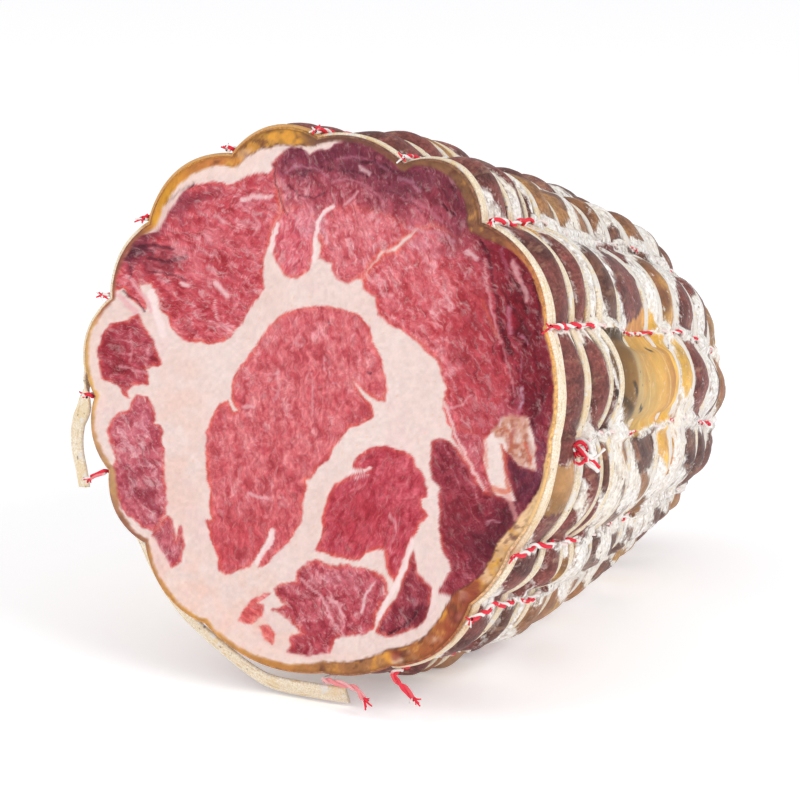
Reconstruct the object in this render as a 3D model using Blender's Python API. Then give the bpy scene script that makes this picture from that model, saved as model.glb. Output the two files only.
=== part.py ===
"""Half a coppa lying on its side in its elastic net, cut face to the front.

Metres, +Z up. The axis of the coppa runs along +Y, the cut face looks along -Y
and leans back a little, and the origin is on the floor under the middle.
"""

import math

import bmesh
import bpy
from mathutils import Vector

MM = 0.001

# Place of the cut face: the middle of the coppa's box stands over the origin.
AXIS_X = 2.3 * MM
FACE_Y = -80.2 * MM
FACE_TILT = math.radians(7.0)

# Stations along the coppa: distance behind the face, girth against the face,
# sideways drift of the section's centre and height of that centre.
STATIONS = [
    (0.0, 1.000, 0.0, 62.1),
    (15.0, 0.975, 0.2, 60.0),
    (30.0, 0.966, 0.3, 57.1),
    (45.0, 0.923, 0.2, 53.4),
    (60.0, 0.882, 0.0, 51.1),
    (75.0, 0.845, -0.3, 49.0),
    (90.0, 0.806, -0.9, 46.9),
    (105.0, 0.762, -1.6, 44.5),
    (120.0, 0.704, -2.6, 41.3),
    (135.0, 0.618, -3.6, 37.1),
    (148.0, 0.490, -4.3, 33.9),
    (157.0, 0.330, -4.7, 32.4),
    (162.0, 0.195, -5.0, 31.8),
    (164.5, 0.104, -5.2, 31.7),
]
TIP = (165.3, -5.3, 31.7)

# The sixteen twines: angle from the top towards +X, and the radius of the
# valley that each one pulls into the rim of the cut face.
TWINES = [
    (-4.5, 54.1),
    (17.0, 52.6),
    (39.5, 52.2),
    (67.1, 53.2),
    (91.1, 51.6),
    (118.4, 50.4),
    (134.7, 51.2),
    (159.1, 54.4),
    (175.7, 54.6),
    (206.5, 53.8),
    (229.8, 51.4),
    (248.6, 52.5),
    (265.8, 53.4),
    (288.5, 53.1),
    (308.2, 53.7),
    (334.0, 54.1),
]
# How far each lobe stands out between its twine and the next, at the rim and
# further back.
RIM_BULGES = [1.6, 5.0, 2.9, 0.6, 0.7, 0.6, 2.3, 0.6, 1.4, 2.2, 2.4, 1.9, 3.4, 1.9, 3.3, 3.0]
FLANK_BULGES = [3.0, 3.6, 3.0, 2.6, 2.6, 2.4, 2.8, 3.6, 3.8, 2.8, 2.8, 2.6, 3.2, 2.6, 3.2, 3.2]
MEAN_RADIUS = 54.0
BULGE_START = 5.5
BULGE_LENGTH = 14.0
LOBE_STEPS = 4
# Towards the round end the twines on both sides sink towards the floor, by up
# to this angle halfway up.
SINK_ANGLE = math.radians(6.0)
SINK_START = 76.0
SINK_LENGTH = 45.0

# The elastic rings: distance behind the face at the twines, and width.
RINGS = [
    (2.9, 4.4),
    (11.9, 3.0),
    (19.3, 2.2),
    (25.0, 3.4),
    (38.0, 2.6),
    (60.0, 3.0),
    (71.0, 3.4),
    (84.0, 3.8),
    (99.5, 3.6),
    (114.5, 3.2),
    (129.0, 3.0),
]
# How far the net sits further back at each twine, all of it reached at
# NET_BACK_LENGTH behind the face.
NET_BACK = [1.5, 4.0, 3.2, 1.0, 2.8, 5.2, 5.6, 4.0, 2.0, 0.8, 0.0, 0.0, 0.0, 0.0, 0.0, 0.4]
NET_BACK_LENGTH = 12.0
RING_THICKNESS = 1.2
SCALLOP = 2.6
PILLOW = 1.7
CLEARANCE = 0.35
# Rows of the rounded end, behind the last ring.
END_ROWS = [135.0, 142.5, 149.5, 155.5, 160.0, 163.0, 164.5]

TWINE_RADIUS = 0.85
TWINE_SIDES = 3
# Heights over the meat: where a twine crosses the rings and on the round end.
TWINE_OVER_RING = CLEARANCE + RING_THICKNESS + CLEARANCE + TWINE_RADIUS + 0.1
TWINE_OVER_MEAT = 0.75 + CLEARANCE + TWINE_RADIUS

# The knot swells the twine on the right where it begins, at the second ring. It
# lies lower than the twine's valley by KNOT_SLIDE columns.
KNOT_TWINE = 4
KNOT_ROWS = [(9.4, 1.0), (10.2, 1.9), (11.1, 2.05)]
KNOT_SIDES = 8
KNOT_SLIDE = 0.65
KNOT_SLIDE_START = 11.0
KNOT_SLIDE_LENGTH = 8.0

# Twines that begin behind the rim, with where they begin, and ends that hang
# off the rim: sideways from the axis, distance behind the face, and height.
SHORT_STARTS = {4: 8.8, 9: 7.0, 10: 7.0}
HANGING_ENDS = {
    7: [(25.6, -7.5, 5.7), (23.6, -7.2, 7.4), (21.1, -6.8, 8.9)],
    8: [(14.3, -7.8, 4.1), (12.6, -7.8, 5.9), (7.6, -7.3, 6.4)],
    11: [(-54.6, -2.6, 40.4), (-52.4, -2.5, 41.6)],
}
TAIL_LENGTHS = [1.1, 0.7, 1.0, 0.6, 0.8, 0.9, 1.3, 0.0, 0.0, 0.0, 0.0, 0.0, 0.9, 1.6, 0.7, 1.5]

# The first ring is cut through. One part keeps its place from CUT_COLUMN over
# the top to FREE_COLUMN and hangs free from there, held by its twines.
CUT_COLUMN = 28
FREE_COLUMN = 49
FREE_END = [
    (-59.0, 3.6, 54.5),
    (-60.3, 3.6, 51.3),
    (-60.7, 3.4, 47.9),
    (-60.3, 3.0, 44.5),
    (-59.1, 2.4, 40.7),
    (-58.3, 2.0, 37.5),
]

# The other part lies loose from low on the left, sags under the rim and ends
# on the floor.
BAND_WIDTH = 4.4
BAND_STEP = 5.0
BAND_ROUTE = [
    (-47.3, -0.5, 33.6),
    (-44.2, -0.8, 30.0),
    (-41.3, -1.1, 26.8),
    (-38.4, -1.7, 22.8),
    (-35.0, -2.2, 18.4),
    (-30.7, -2.6, 14.2),
    (-25.6, -2.8, 10.6),
    (-20.6, -3.0, 7.6),
    (-15.4, -3.3, 4.8),
    (-10.4, -3.6, 2.7),
    (-5.4, -3.8, 1.5),
    (-0.4, -3.9, 1.1),
    (4.2, -3.9, 1.0),
    (8.4, -3.7, 1.0),
]

# The tie of the net on the round end.
END_KNOT_RADIUS = 4.4
END_KNOT_HEIGHT = 3.0


def clear_scene():
    """Remove the objects and meshes that the scene starts with."""
    for item in list(bpy.data.objects):
        bpy.data.objects.remove(item, do_unlink=True)


def make_material(name, colour, roughness):
    """A Principled material of one colour."""
    material = bpy.data.materials.new(name)
    material.use_nodes = True
    shader = material.node_tree.nodes["Principled BSDF"]
    shader.inputs["Base Color"].default_value = (*colour, 1.0)
    shader.inputs["Roughness"].default_value = roughness
    shader.inputs["Metallic"].default_value = 0.0
    material.diffuse_color = (*colour, 1.0)
    return material


def smoothstep(t):
    """Ease from 0 to 1."""
    t = min(max(t, 0.0), 1.0)
    return t * t * (3.0 - 2.0 * t)


def station(y):
    """Girth, drift and centre height at a distance behind the face."""
    last = len(STATIONS) - 1
    index = max(i for i in range(last) if y >= STATIONS[i][0] or i == 0)
    low, high = STATIONS[index], STATIONS[index + 1]
    before = STATIONS[max(index - 1, 0)]
    after = STATIONS[min(index + 2, last)]
    span = high[0] - low[0]
    t = (y - low[0]) / span
    values = []
    for k in (1, 2, 3):
        slope_low = (high[k] - before[k]) / (high[0] - before[0])
        slope_high = (after[k] - low[k]) / (after[0] - low[0])
        values.append(
            (2 * t**3 - 3 * t**2 + 1) * low[k]
            + (t**3 - 2 * t**2 + t) * span * slope_low
            + (-2 * t**3 + 3 * t**2) * high[k]
            + (t**3 - t**2) * span * slope_high
        )
    return values


def lobe_place(column):
    """Lobe number, share of the way across it, and angle of a column."""
    lobe, step = divmod(column, LOBE_STEPS)
    lobe, share = int(lobe), step / LOBE_STEPS
    start = TWINES[lobe][0]
    end = TWINES[(lobe + 1) % len(TWINES)][0]
    if end < start:
        end += 360.0
    return lobe, share, math.radians(start + share * (end - start))


COLUMNS = len(TWINES) * LOBE_STEPS


def lean_of(y):
    """Angle by which the outside turns from the radius towards the round end."""
    rise = (station(y + 0.5)[0] - station(y - 0.5)[0]) * MEAN_RADIUS
    return math.atan(-rise)


def surface_point(column, y, lift=0.0, least_z=0.0):
    """A point over the meat, lift above the bottom of the ring grooves."""
    lobe, share, angle = lobe_place(column)
    arch = math.sin(math.pi * share) ** 0.85 if share else 0.0
    valley = (1 - share) * TWINES[lobe][1] + share * TWINES[(lobe + 1) % len(TWINES)][1]
    behind = smoothstep((y - BULGE_START) / BULGE_LENGTH)
    bulge = (1 - behind) * RIM_BULGES[lobe] + behind * FLANK_BULGES[lobe]
    back = (1 - share) * NET_BACK[lobe] + share * NET_BACK[(lobe + 1) % len(TWINES)]
    back = back * smoothstep(y / NET_BACK_LENGTH) + SCALLOP * arch * behind
    y += back * (1 - smoothstep((y - 125.0) / 20.0))
    girth, drift, height = station(y)
    lean = lean_of(y)
    angle += SINK_ANGLE * smoothstep((y - SINK_START) / SINK_LENGTH) * math.sin(angle)
    radius = girth * (valley + bulge * arch) + lift * math.cos(lean)
    y += lift * math.sin(lean)
    across = radius * math.sin(angle)
    up = radius * math.cos(angle)
    point = Vector((
        AXIS_X + (drift + across) * MM,
        FACE_Y + (y + up * math.sin(FACE_TILT)) * MM,
        (height + up * math.cos(FACE_TILT)) * MM,
    ))
    point.z = max(point.z, least_z * MM)
    return point


def ring_groove_point(column, y, lift=0.0):
    """A point in or over a ring groove, kept high enough for the ring."""
    floor_room = RING_THICKNESS + CLEARANCE + 0.15
    return surface_point(column, y, lift, floor_room - lift)


def pillow_height(column, gap):
    """How far the meat swells between two rings that leave this gap."""
    share = lobe_place(column)[1]
    return PILLOW * min(gap / 5.5, 1.0) * (0.42 + 0.58 * math.sin(math.pi * share))


def body_rows():
    """The coppa's rows of points, from the rim to the round end."""
    rows = [[ring_groove_point(c, 0.0) for c in range(COLUMNS)]]
    for index, (y, width) in enumerate(RINGS):
        half = width / 2 + 0.3
        if index:
            rows.append([ring_groove_point(c, y - half) for c in range(COLUMNS)])
        rows.append([ring_groove_point(c, y + half) for c in range(COLUMNS)])
        if index + 1 < len(RINGS):
            next_y, next_width = RINGS[index + 1]
            start, end = y + half, next_y - next_width / 2 - 0.3
            shares = (0.3, 0.7) if end - start > 10 else (0.5,)
            for share in shares:
                middle = start + share * (end - start)
                rows.append([
                    surface_point(c, middle, pillow_height(c, end - start))
                    for c in range(COLUMNS)
                ])
    for index, y in enumerate(END_ROWS):
        swell = 5.0 * math.sin(math.pi * min((index + 1) / 4, 1.0))
        rows.append([
            surface_point(c, y, pillow_height(c, swell)) for c in range(COLUMNS)
        ])
    return rows


def face_rows(rim):
    """Rows of the cut face, from near the rim to its middle, gently dished."""
    centre = sum(rim, Vector()) / len(rim)
    inward = Vector((0.0, math.cos(FACE_TILT), -math.sin(FACE_TILT)))
    rows = []
    for share, depth in ((0.93, 0.35), (0.62, 0.75), (0.30, 0.45)):
        row = []
        for column, point in enumerate(rim):
            wave = 0.25 * math.sin(5 * math.tau * column / COLUMNS + 9 * share)
            row.append(centre.lerp(point, share) + inward * (depth + wave) * MM)
        rows.append(row)
    return rows, centre + inward * 0.6 * MM


def add_object(name, verts, faces, material, smooth_angle=40.0):
    """One closed body as a named object, shaded smooth with sharp edges."""
    mesh = bpy.data.meshes.new(name)
    mesh.from_pydata([tuple(v) for v in verts], [], faces)
    mesh.materials.append(material)
    work = bmesh.new()
    work.from_mesh(mesh)
    bmesh.ops.recalc_face_normals(work, faces=work.faces)
    work.to_mesh(mesh)
    work.free()
    mesh.shade_smooth()
    mesh.set_sharp_from_angle(angle=math.radians(smooth_angle))
    item = bpy.data.objects.new(name, mesh)
    bpy.context.scene.collection.objects.link(item)
    return item


def stitch(faces, row, next_row):
    """Close the strip between two rings of point numbers with quads."""
    count = len(row)
    for i in range(count):
        j = (i + 1) % count
        faces.append((row[i], row[j], next_row[j], next_row[i]))


def fan(faces, row, middle):
    """Close a ring of point numbers to one point."""
    count = len(row)
    for i in range(count):
        faces.append((row[i], row[(i + 1) % count], middle))


def loft(rows, first_cap=None, last_cap=None):
    """Points and faces of a body through rows, closed at both ends."""
    verts, faces, numbers = [], [], []
    for row in rows:
        numbers.append(list(range(len(verts), len(verts) + len(row))))
        verts.extend(row)
    for row, next_row in zip(numbers, numbers[1:]):
        stitch(faces, row, next_row)
    for row, cap in ((numbers[0], first_cap), (numbers[-1], last_cap)):
        if cap is None:
            faces.append(tuple(row))
        else:
            verts.append(cap)
            fan(faces, row, len(verts) - 1)
    return verts, faces


def build_coppa(material):
    """The meat in its casing, one solid."""
    rows = body_rows()
    cut, middle = face_rows(rows[0])
    tip = net_point(TIP[1], TIP[0], TIP[2])
    verts, faces = loft(list(reversed(cut)) + rows, middle, tip)
    return add_object("coppa", verts, faces, material, 70.0)


def net_point(x, behind, z):
    """A point given sideways from the axis, behind the face and over the floor."""
    return Vector((AXIS_X + x * MM, FACE_Y + behind * MM, z * MM))


def ring_section(column, y, width):
    """The four corners of a ring where it lies in its groove."""
    inside, outside = CLEARANCE, CLEARANCE + RING_THICKNESS
    corners = [
        (-width / 2, inside),
        (-0.82 * width / 2, outside),
        (0.82 * width / 2, outside),
        (width / 2, inside),
    ]
    return [ring_groove_point(column, y + side, lift) for side, lift in corners]


def free_section(before, point, after, width):
    """The four corners of a ring where it hangs free of the meat."""
    along = (after - before).normalized()
    away = point - Vector((AXIS_X, point.y, STATIONS[0][3] * MM))
    out = (away - along * away.dot(along)).normalized() * RING_THICKNESS / 2 * MM
    wide = Vector((0.0, width / 2 * MM, 0.0))
    return [
        point - wide - out,
        point - 0.82 * wide + out,
        point + 0.82 * wide + out,
        point + wide - out,
    ]


def build_ring(index, material):
    """One elastic ring, a flat band closed round the meat in its groove."""
    y, width = RINGS[index]
    sections = [ring_section(c, y, width) for c in range(COLUMNS)]
    verts = [point for section in sections for point in section]
    faces = []
    for i in range(COLUMNS):
        j = (i + 1) % COLUMNS
        for k in range(4):
            m = (k + 1) % 4
            faces.append((4 * i + k, 4 * j + k, 4 * j + m, 4 * i + m))
    return add_object(f"ring_{index + 1:02d}", verts, faces, material, 35.0)


def build_cut_ring(material):
    """The part of the first ring that is still in its groove, and its free end."""
    y, width = RINGS[0]
    held = range(CUT_COLUMN, FREE_COLUMN - COLUMNS - 1, -1)
    sections = [ring_section(column % COLUMNS, y, width) for column in held]
    path = [sum(sections[-1], Vector()) / 4] + [net_point(*place) for place in FREE_END]
    path.append(path[-1] * 2 - path[-2])
    for before, point, after in zip(path, path[1:], path[2:]):
        sections.append(free_section(before, point, after, width))
    verts, faces = loft(sections)
    return add_object("ring_01", verts, faces, material, 35.0)


def curve_through(route, step):
    """Points about a step apart on a smooth curve through a route."""
    ends = [route[0] * 2 - route[1]] + route + [route[-1] * 2 - route[-2]]
    fine = []
    for a, b, c, d in zip(ends, ends[1:], ends[2:], ends[3:]):
        for k in range(12):
            t = k / 12
            fine.append(0.5 * (
                2 * b + (c - a) * t + (2 * a - 5 * b + 4 * c - d) * t**2
                + (3 * b - a - 3 * c + d) * t**3
            ))
    fine.append(route[-1])
    length = sum((q - p).length for p, q in zip(fine, fine[1:]))
    count = round(length / step)
    points, walked, target = [fine[0]], 0.0, length / count
    for p, q in zip(fine, fine[1:]):
        piece = (q - p).length
        while walked + piece >= target and len(points) < count:
            points.append(p.lerp(q, (target - walked) / piece))
            target += length / count
        walked += piece
    return points + [fine[-1]]


def build_loose_band(material):
    """The part of the first ring that lies loose, down to the floor."""
    points = curve_through([net_point(*place) for place in BAND_ROUTE], BAND_STEP * MM)
    path = [points[0] * 2 - points[1]] + points + [points[-1] * 2 - points[-2]]
    sections = [
        free_section(before, point, after, BAND_WIDTH)
        for before, point, after in zip(path, path[1:], path[2:])
    ]
    verts, faces = loft(sections)
    return add_object("loose_band", verts, faces, material, 35.0)


def tube(points, radii, outward, sides):
    """Points and faces of a cord of flat sides, one edge towards the meat."""
    rows = []
    for i, point in enumerate(points):
        before = points[max(i - 1, 0)]
        after = points[min(i + 1, len(points) - 1)]
        along = (after - before).normalized()
        out = (outward[i] - along * outward[i].dot(along)).normalized()
        across = along.cross(out)
        row = []
        for k in range(sides):
            turn = math.tau * k / sides
            row.append(point - (out * math.cos(turn) + across * math.sin(turn)) * radii[i])
        rows.append(row)
    return loft(rows)


def radial(column):
    """Outward direction of a column."""
    angle = lobe_place(column)[2]
    return Vector((
        math.sin(angle),
        math.cos(angle) * math.sin(FACE_TILT),
        math.cos(angle) * math.cos(FACE_TILT),
    ))


def build_twine(index, material):
    """One twine, from its cut end at the rim to the tie on the round end."""
    column = index * LOBE_STEPS
    out = radial(column)
    radius = TWINE_RADIUS
    swell = KNOT_ROWS if index == KNOT_TWINE else []
    points, radii = [], []

    def add(y, lift, thickness=radius):
        slide = 1 - smoothstep((y - KNOT_SLIDE_START) / KNOT_SLIDE_LENGTH)
        place = column + KNOT_SLIDE * slide if swell else column
        points.append(surface_point(place, y, lift, 0.5))
        radii.append(thickness * MM)

    for x, behind, z in HANGING_ENDS.get(index, []):
        points.append(net_point(x, behind, z))
        radii.append(radius * MM)
    start = SHORT_STARTS.get(index, 0.4)
    if index not in HANGING_ENDS and index not in SHORT_STARTS:
        add(-1.4, TWINE_OVER_RING + TAIL_LENGTHS[index])
    add(start, TWINE_OVER_RING + 0.1)
    for y, _ in RINGS:
        if y < start:
            continue
        for knot_y, thickness in swell:
            if y > knot_y > y - 8:
                add(knot_y, TWINE_OVER_RING + max(thickness - radius, 0) * 0.9, thickness)
        add(y, TWINE_OVER_RING)
    for k, y in enumerate(END_ROWS):
        add(y, TWINE_OVER_MEAT if k else TWINE_OVER_RING)
    sides = KNOT_SIDES if index == KNOT_TWINE else TWINE_SIDES
    verts, faces = tube(points, radii, [out] * len(points), sides)
    return add_object(f"twine_{index + 1:02d}", verts, faces, material, 80.0)


def build_end_knot(material):
    """The knot that draws the net together on the round end."""
    centre = net_point(TIP[1], TIP[0] + END_KNOT_HEIGHT / 2 + 2 * CLEARANCE, TIP[2])
    mesh = bpy.data.meshes.new("end_knot")
    work = bmesh.new()
    bmesh.ops.create_icosphere(work, subdivisions=2, radius=END_KNOT_RADIUS * MM)
    for vert in work.verts:
        vert.co.y *= END_KNOT_HEIGHT / 2 / END_KNOT_RADIUS
        vert.co += centre
    work.to_mesh(mesh)
    work.free()
    mesh.materials.append(material)
    mesh.shade_smooth()
    item = bpy.data.objects.new("end_knot", mesh)
    bpy.context.scene.collection.objects.link(item)
    return item


def main():
    """Build the coppa and its net."""
    clear_scene()
    meat = make_material("cured_meat", (0.33, 0.085, 0.075), 0.55)
    elastic = make_material("elastic_band", (0.80, 0.70, 0.50), 0.75)
    twine = make_material("red_white_twine", (0.78, 0.22, 0.22), 0.80)
    build_coppa(meat)
    build_cut_ring(elastic)
    build_loose_band(elastic)
    for index in range(1, len(RINGS)):
        build_ring(index, elastic)
    for index in range(len(TWINES)):
        build_twine(index, twine)
    build_end_knot(twine)


main()
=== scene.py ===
import math

import bpy
import numpy as np
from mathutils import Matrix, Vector


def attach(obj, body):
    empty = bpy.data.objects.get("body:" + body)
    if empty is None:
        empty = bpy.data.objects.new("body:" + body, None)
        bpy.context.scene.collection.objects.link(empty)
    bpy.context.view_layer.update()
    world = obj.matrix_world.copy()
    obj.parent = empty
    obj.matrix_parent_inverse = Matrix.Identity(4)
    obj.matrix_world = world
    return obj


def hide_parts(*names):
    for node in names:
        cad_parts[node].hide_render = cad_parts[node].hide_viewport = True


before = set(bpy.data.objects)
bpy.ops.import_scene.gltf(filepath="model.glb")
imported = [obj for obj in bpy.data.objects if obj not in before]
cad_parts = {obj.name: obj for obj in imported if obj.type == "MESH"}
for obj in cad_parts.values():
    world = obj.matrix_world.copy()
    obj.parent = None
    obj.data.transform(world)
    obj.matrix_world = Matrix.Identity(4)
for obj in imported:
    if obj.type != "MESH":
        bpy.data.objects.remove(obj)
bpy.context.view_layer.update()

MM = 0.001

# The true form, with the same sizes as the solids, in millimetres. A place on
# the outside is a column round the coppa, four to a lobe, and a distance
# behind the face. Stations: distance behind the face, girth, sideways drift
# and height of the middle.
AXIS_X = 2.3
FACE_Y = -80.2
FACE_TILT = math.radians(7.0)
INWARD = np.array([0.0, math.cos(FACE_TILT), -math.sin(FACE_TILT)])
STATIONS = np.array([
    (0.0, 1.000, 0.0, 62.1),
    (15.0, 0.975, 0.2, 60.0),
    (30.0, 0.966, 0.3, 57.1),
    (45.0, 0.923, 0.2, 53.4),
    (60.0, 0.882, 0.0, 51.1),
    (75.0, 0.845, -0.3, 49.0),
    (90.0, 0.806, -0.9, 46.9),
    (105.0, 0.762, -1.6, 44.5),
    (120.0, 0.704, -2.6, 41.3),
    (135.0, 0.618, -3.6, 37.1),
    (148.0, 0.490, -4.3, 33.9),
    (157.0, 0.330, -4.7, 32.4),
    (162.0, 0.195, -5.0, 31.8),
    (164.5, 0.104, -5.2, 31.7),
])
FACE_HEIGHT = STATIONS[0, 3]
LAST_STATION = STATIONS[-1, 0]
TIP_POINT = np.array([AXIS_X - 5.3, FACE_Y + 165.3, 31.7])
MEAT_LENGTH = 165.0
TWINE_ANGLES = np.array([
    -4.5, 17.0, 39.5, 67.1, 91.1, 118.4, 134.7, 159.1,
    175.7, 206.5, 229.8, 248.6, 265.8, 288.5, 308.2, 334.0,
])
VALLEY_RADII = np.array([
    54.1, 52.6, 52.2, 53.2, 51.6, 50.4, 51.2, 54.4,
    54.6, 53.8, 51.4, 52.5, 53.4, 53.1, 53.7, 54.1,
])
RIM_BULGES = np.array([
    1.6, 5.0, 2.9, 0.6, 0.7, 0.6, 2.3, 0.6, 1.4, 2.2, 2.4, 1.9, 3.4, 1.9, 3.3, 3.0,
])
FLANK_BULGES = np.array([
    3.0, 3.6, 3.0, 2.6, 2.6, 2.4, 2.8, 3.6, 3.8, 2.8, 2.8, 2.6, 3.2, 2.6, 3.2, 3.2,
])
MEAN_RADIUS = 54.0
BULGE_START = 5.5
BULGE_LENGTH = 14.0
LOBES = len(TWINE_ANGLES)
LOBE_STEPS = 4
COLUMNS = LOBES * LOBE_STEPS
COLUMN_MM = 5.3
# The part of the outside that is painted after the photo.
SHOWN_COLUMNS = (4, 28)
SHOWN_END = 106.0
SINK_ANGLE = math.radians(6.0)
SINK_START = 76.0
SINK_LENGTH = 45.0
NET_BACK = np.array([1.5, 4.0, 3.2, 1.0, 2.8, 5.2, 5.6, 4.0, 2.0, 0.8, 0.0, 0.0, 0.0, 0.0, 0.0, 0.4])
NET_BACK_LENGTH = 12.0
SCALLOP = 2.6
SCALLOP_END = (125.0, 145.0)
PILLOW = 2.0
# The rings: distance behind the face and width, and how wide they show, where
# dirt and bloom hide their edges.
RINGS = [
    (2.9, 4.4), (11.9, 3.0), (19.3, 2.2), (25.0, 3.4), (38.0, 2.6), (60.0, 3.0),
    (71.0, 3.4), (84.0, 3.8), (99.5, 3.6), (114.5, 3.2), (129.0, 3.0),
]
SHOWN_WIDTHS = [4.2, 2.4, 1.5, 2.6, 1.7, 2.6, 3.0, 3.2, 3.2, 3.0, 2.8]
LAST_GAP_END = 158.0
# The cut ring is held between these columns, and hangs free after them.
CUT_COLUMN = 28
FREE_COLUMN = 49
FREE_END = [
    (-59.0, 3.6, 54.5), (-60.3, 3.6, 51.3), (-60.7, 3.4, 47.9),
    (-60.3, 3.0, 44.5), (-59.1, 2.4, 40.7), (-58.3, 2.0, 37.5),
]
FREE_END_OUT = 0.5
FREE_END_ANGLE = 285.0
FREE_TURN = math.radians(58.0)
BAND_WIDTH = 4.4
BAND_STEP = 0.8
BAND_ROUTE = [
    (-47.3, -0.5, 33.6), (-44.2, -0.8, 30.0), (-41.3, -1.1, 26.8), (-38.4, -1.7, 22.8),
    (-35.0, -2.2, 18.4), (-30.7, -2.6, 14.2), (-25.6, -2.8, 10.6), (-20.6, -3.0, 7.6),
    (-15.4, -3.3, 4.8), (-10.4, -3.6, 2.7), (-5.4, -3.8, 1.5), (-0.4, -3.9, 1.1),
    (4.2, -3.9, 1.0), (8.4, -3.7, 1.0),
]
BAND_TURN = math.radians(62.0)
# The twines: where the ones that start late start, the ends that hang from the
# rim, and how far the others stand out from it.
SHORT_STARTS = {4: 8.8, 9: 7.0, 10: 7.0}
HANGING_ENDS = {
    7: [(25.6, -7.5, 5.7), (23.6, -7.2, 7.4), (21.1, -6.8, 8.9)],
    8: [(14.3, -7.8, 4.1), (12.6, -7.8, 5.9), (7.6, -7.3, 6.4)],
    11: [(-53.5, -2.6, 41.0), (-52.4, -2.5, 41.6)],
}
TAIL_LENGTHS = [1.1, 0.7, 1.0, 0.6, 0.8, 0.9, 1.3, 0.0, 0.0, 0.0, 0.0, 0.0, 0.9, 1.6, 0.7, 1.5]

# The photo's camera: turn, rise, distance and the place in the picture of the
# middle of the cut, in points of a picture 800 wide.
VIEW_TURN = math.radians(28.5)
VIEW_RISE = math.radians(14.0)
VIEW_DISTANCE = 830.0
PICTURE = 800.0
FOCAL = 4067.0
SENSOR_MM = 36.0
AIM = np.array([AXIS_X, FACE_Y, 56.3])
AIM_IN_PICTURE = (320.0, 433.74)
BACK = np.array([
    math.sin(VIEW_TURN) * math.cos(VIEW_RISE),
    -math.cos(VIEW_TURN) * math.cos(VIEW_RISE),
    math.sin(VIEW_RISE),
])
RIGHT = np.array([math.cos(VIEW_TURN), math.sin(VIEW_TURN), 0.0])
UP = np.cross(BACK, RIGHT)
EYE = AIM + BACK * VIEW_DISTANCE


def in_picture(points):
    """Where points in millimetres show in the photo."""
    away = points - EYE
    deep = -(away @ BACK)
    across = AIM_IN_PICTURE[0] + FOCAL * (away @ RIGHT) / deep
    down = AIM_IN_PICTURE[1] - FOCAL * (away @ UP) / deep
    return across, down


# Repeatable chance
def dice(ix, iy, seed):
    """A repeatable number from 0 to 1 for each whole-number place."""
    ix, iy = np.asarray(ix).astype(np.int64), np.asarray(iy).astype(np.int64)
    h = (ix * 73856093) ^ (iy * 19349663) ^ (seed * 83492791)
    h = (h ^ (h >> 13)) * 1274126177
    h = (h ^ (h >> 16)) & 0xFFFFFF
    return h / 0xFFFFFF


def noise(x, y, size, seed=0):
    """Smooth noise from -1 to 1 with bumps about size apart."""
    x, y = x / size + 31.7 * seed, y / size - 17.3 * seed
    ix, iy = np.floor(x), np.floor(y)
    fx, fy = x - ix, y - iy
    fx, fy = fx * fx * fx * (fx * (fx * 6 - 15) + 10), fy * fy * fy * (fy * (fy * 6 - 15) + 10)
    a, b = dice(ix, iy, seed), dice(ix + 1, iy, seed)
    c, d = dice(ix, iy + 1, seed), dice(ix + 1, iy + 1, seed)
    return 2 * ((a * (1 - fx) + b * fx) * (1 - fy) + (c * (1 - fx) + d * fx) * fy) - 1


def ripple(x, size, seed):
    """Smooth noise from -1 to 1 along a line."""
    return noise(x, x * 0, size, seed)


def rough(x, y, size, seed=0, layers=3):
    """Noise with finer noise on top."""
    total, weight = 0.0, 0.0
    for k in range(layers):
        total = total + noise(x, y, size / 2**k, seed + 7 * k) * 0.5**k
        weight += 0.5**k
    return total / weight * 1.4


def cells(x, y, size, seed=0):
    """Distance to the nearest and next nearest of scattered points, over size."""
    x, y = x / size, y / size
    ix, iy = np.floor(x), np.floor(y)
    first = np.full(x.shape, 9.0)
    second = np.full(x.shape, 9.0)
    for dx in (-1, 0, 1):
        for dy in (-1, 0, 1):
            cx, cy = ix + dx, iy + dy
            px = cx + 0.1 + 0.8 * dice(cx, cy, seed)
            py = cy + 0.1 + 0.8 * dice(cx, cy, seed + 101)
            d = np.hypot(px - x, py - y)
            second = np.minimum(second, np.maximum(first, d))
            first = np.minimum(first, d)
    return first, second


# Shapes and lines
def ease(low, high, x):
    """Ease from 0 at low to 1 at high."""
    t = np.clip((x - low) / (high - low), 0, 1)
    return t * t * (3 - 2 * t)


def depth_in(x, y, outline, closed=True):
    """Distance inside an outline, or minus the distance to it."""
    pts = np.array(outline, float)
    nxt = np.roll(pts, -1, axis=0)
    if not closed:
        pts, nxt = pts[:-1], nxt[:-1]
    best = np.full(x.shape, 1e9)
    inside = np.zeros(x.shape, bool)
    for (ax, ay), (bx, by) in zip(pts, nxt):
        ex, ey = bx - ax, by - ay
        t = np.clip(((x - ax) * ex + (y - ay) * ey) / max(ex * ex + ey * ey, 1e-9), 0, 1)
        best = np.minimum(best, (x - ax - t * ex) ** 2 + (y - ay - t * ey) ** 2)
        if closed:
            inside ^= ((ay > y) != (by > y)) & (x < ex * (y - ay) / ((by - ay) or 1e-9) + ax)
    best = np.sqrt(best)
    return np.where(inside, best, -best) if closed else -best


def blob(x, y, middle, half, turn):
    """1 in the middle of an oval and 0 beyond it."""
    t = np.radians(turn)
    dx, dy = x - middle[0], y - middle[1]
    a = (dx * np.cos(t) + dy * np.sin(t)) / half[0]
    b = (-dx * np.sin(t) + dy * np.cos(t)) / half[1]
    return 1 - ease(0.35, 1.15, np.hypot(a, b))


def stretched(x, y, turn):
    """Places turned so that the first runs along the fibres."""
    t = np.radians(turn)
    return x * np.cos(t) + y * np.sin(t), -x * np.sin(t) + y * np.cos(t)


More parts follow.
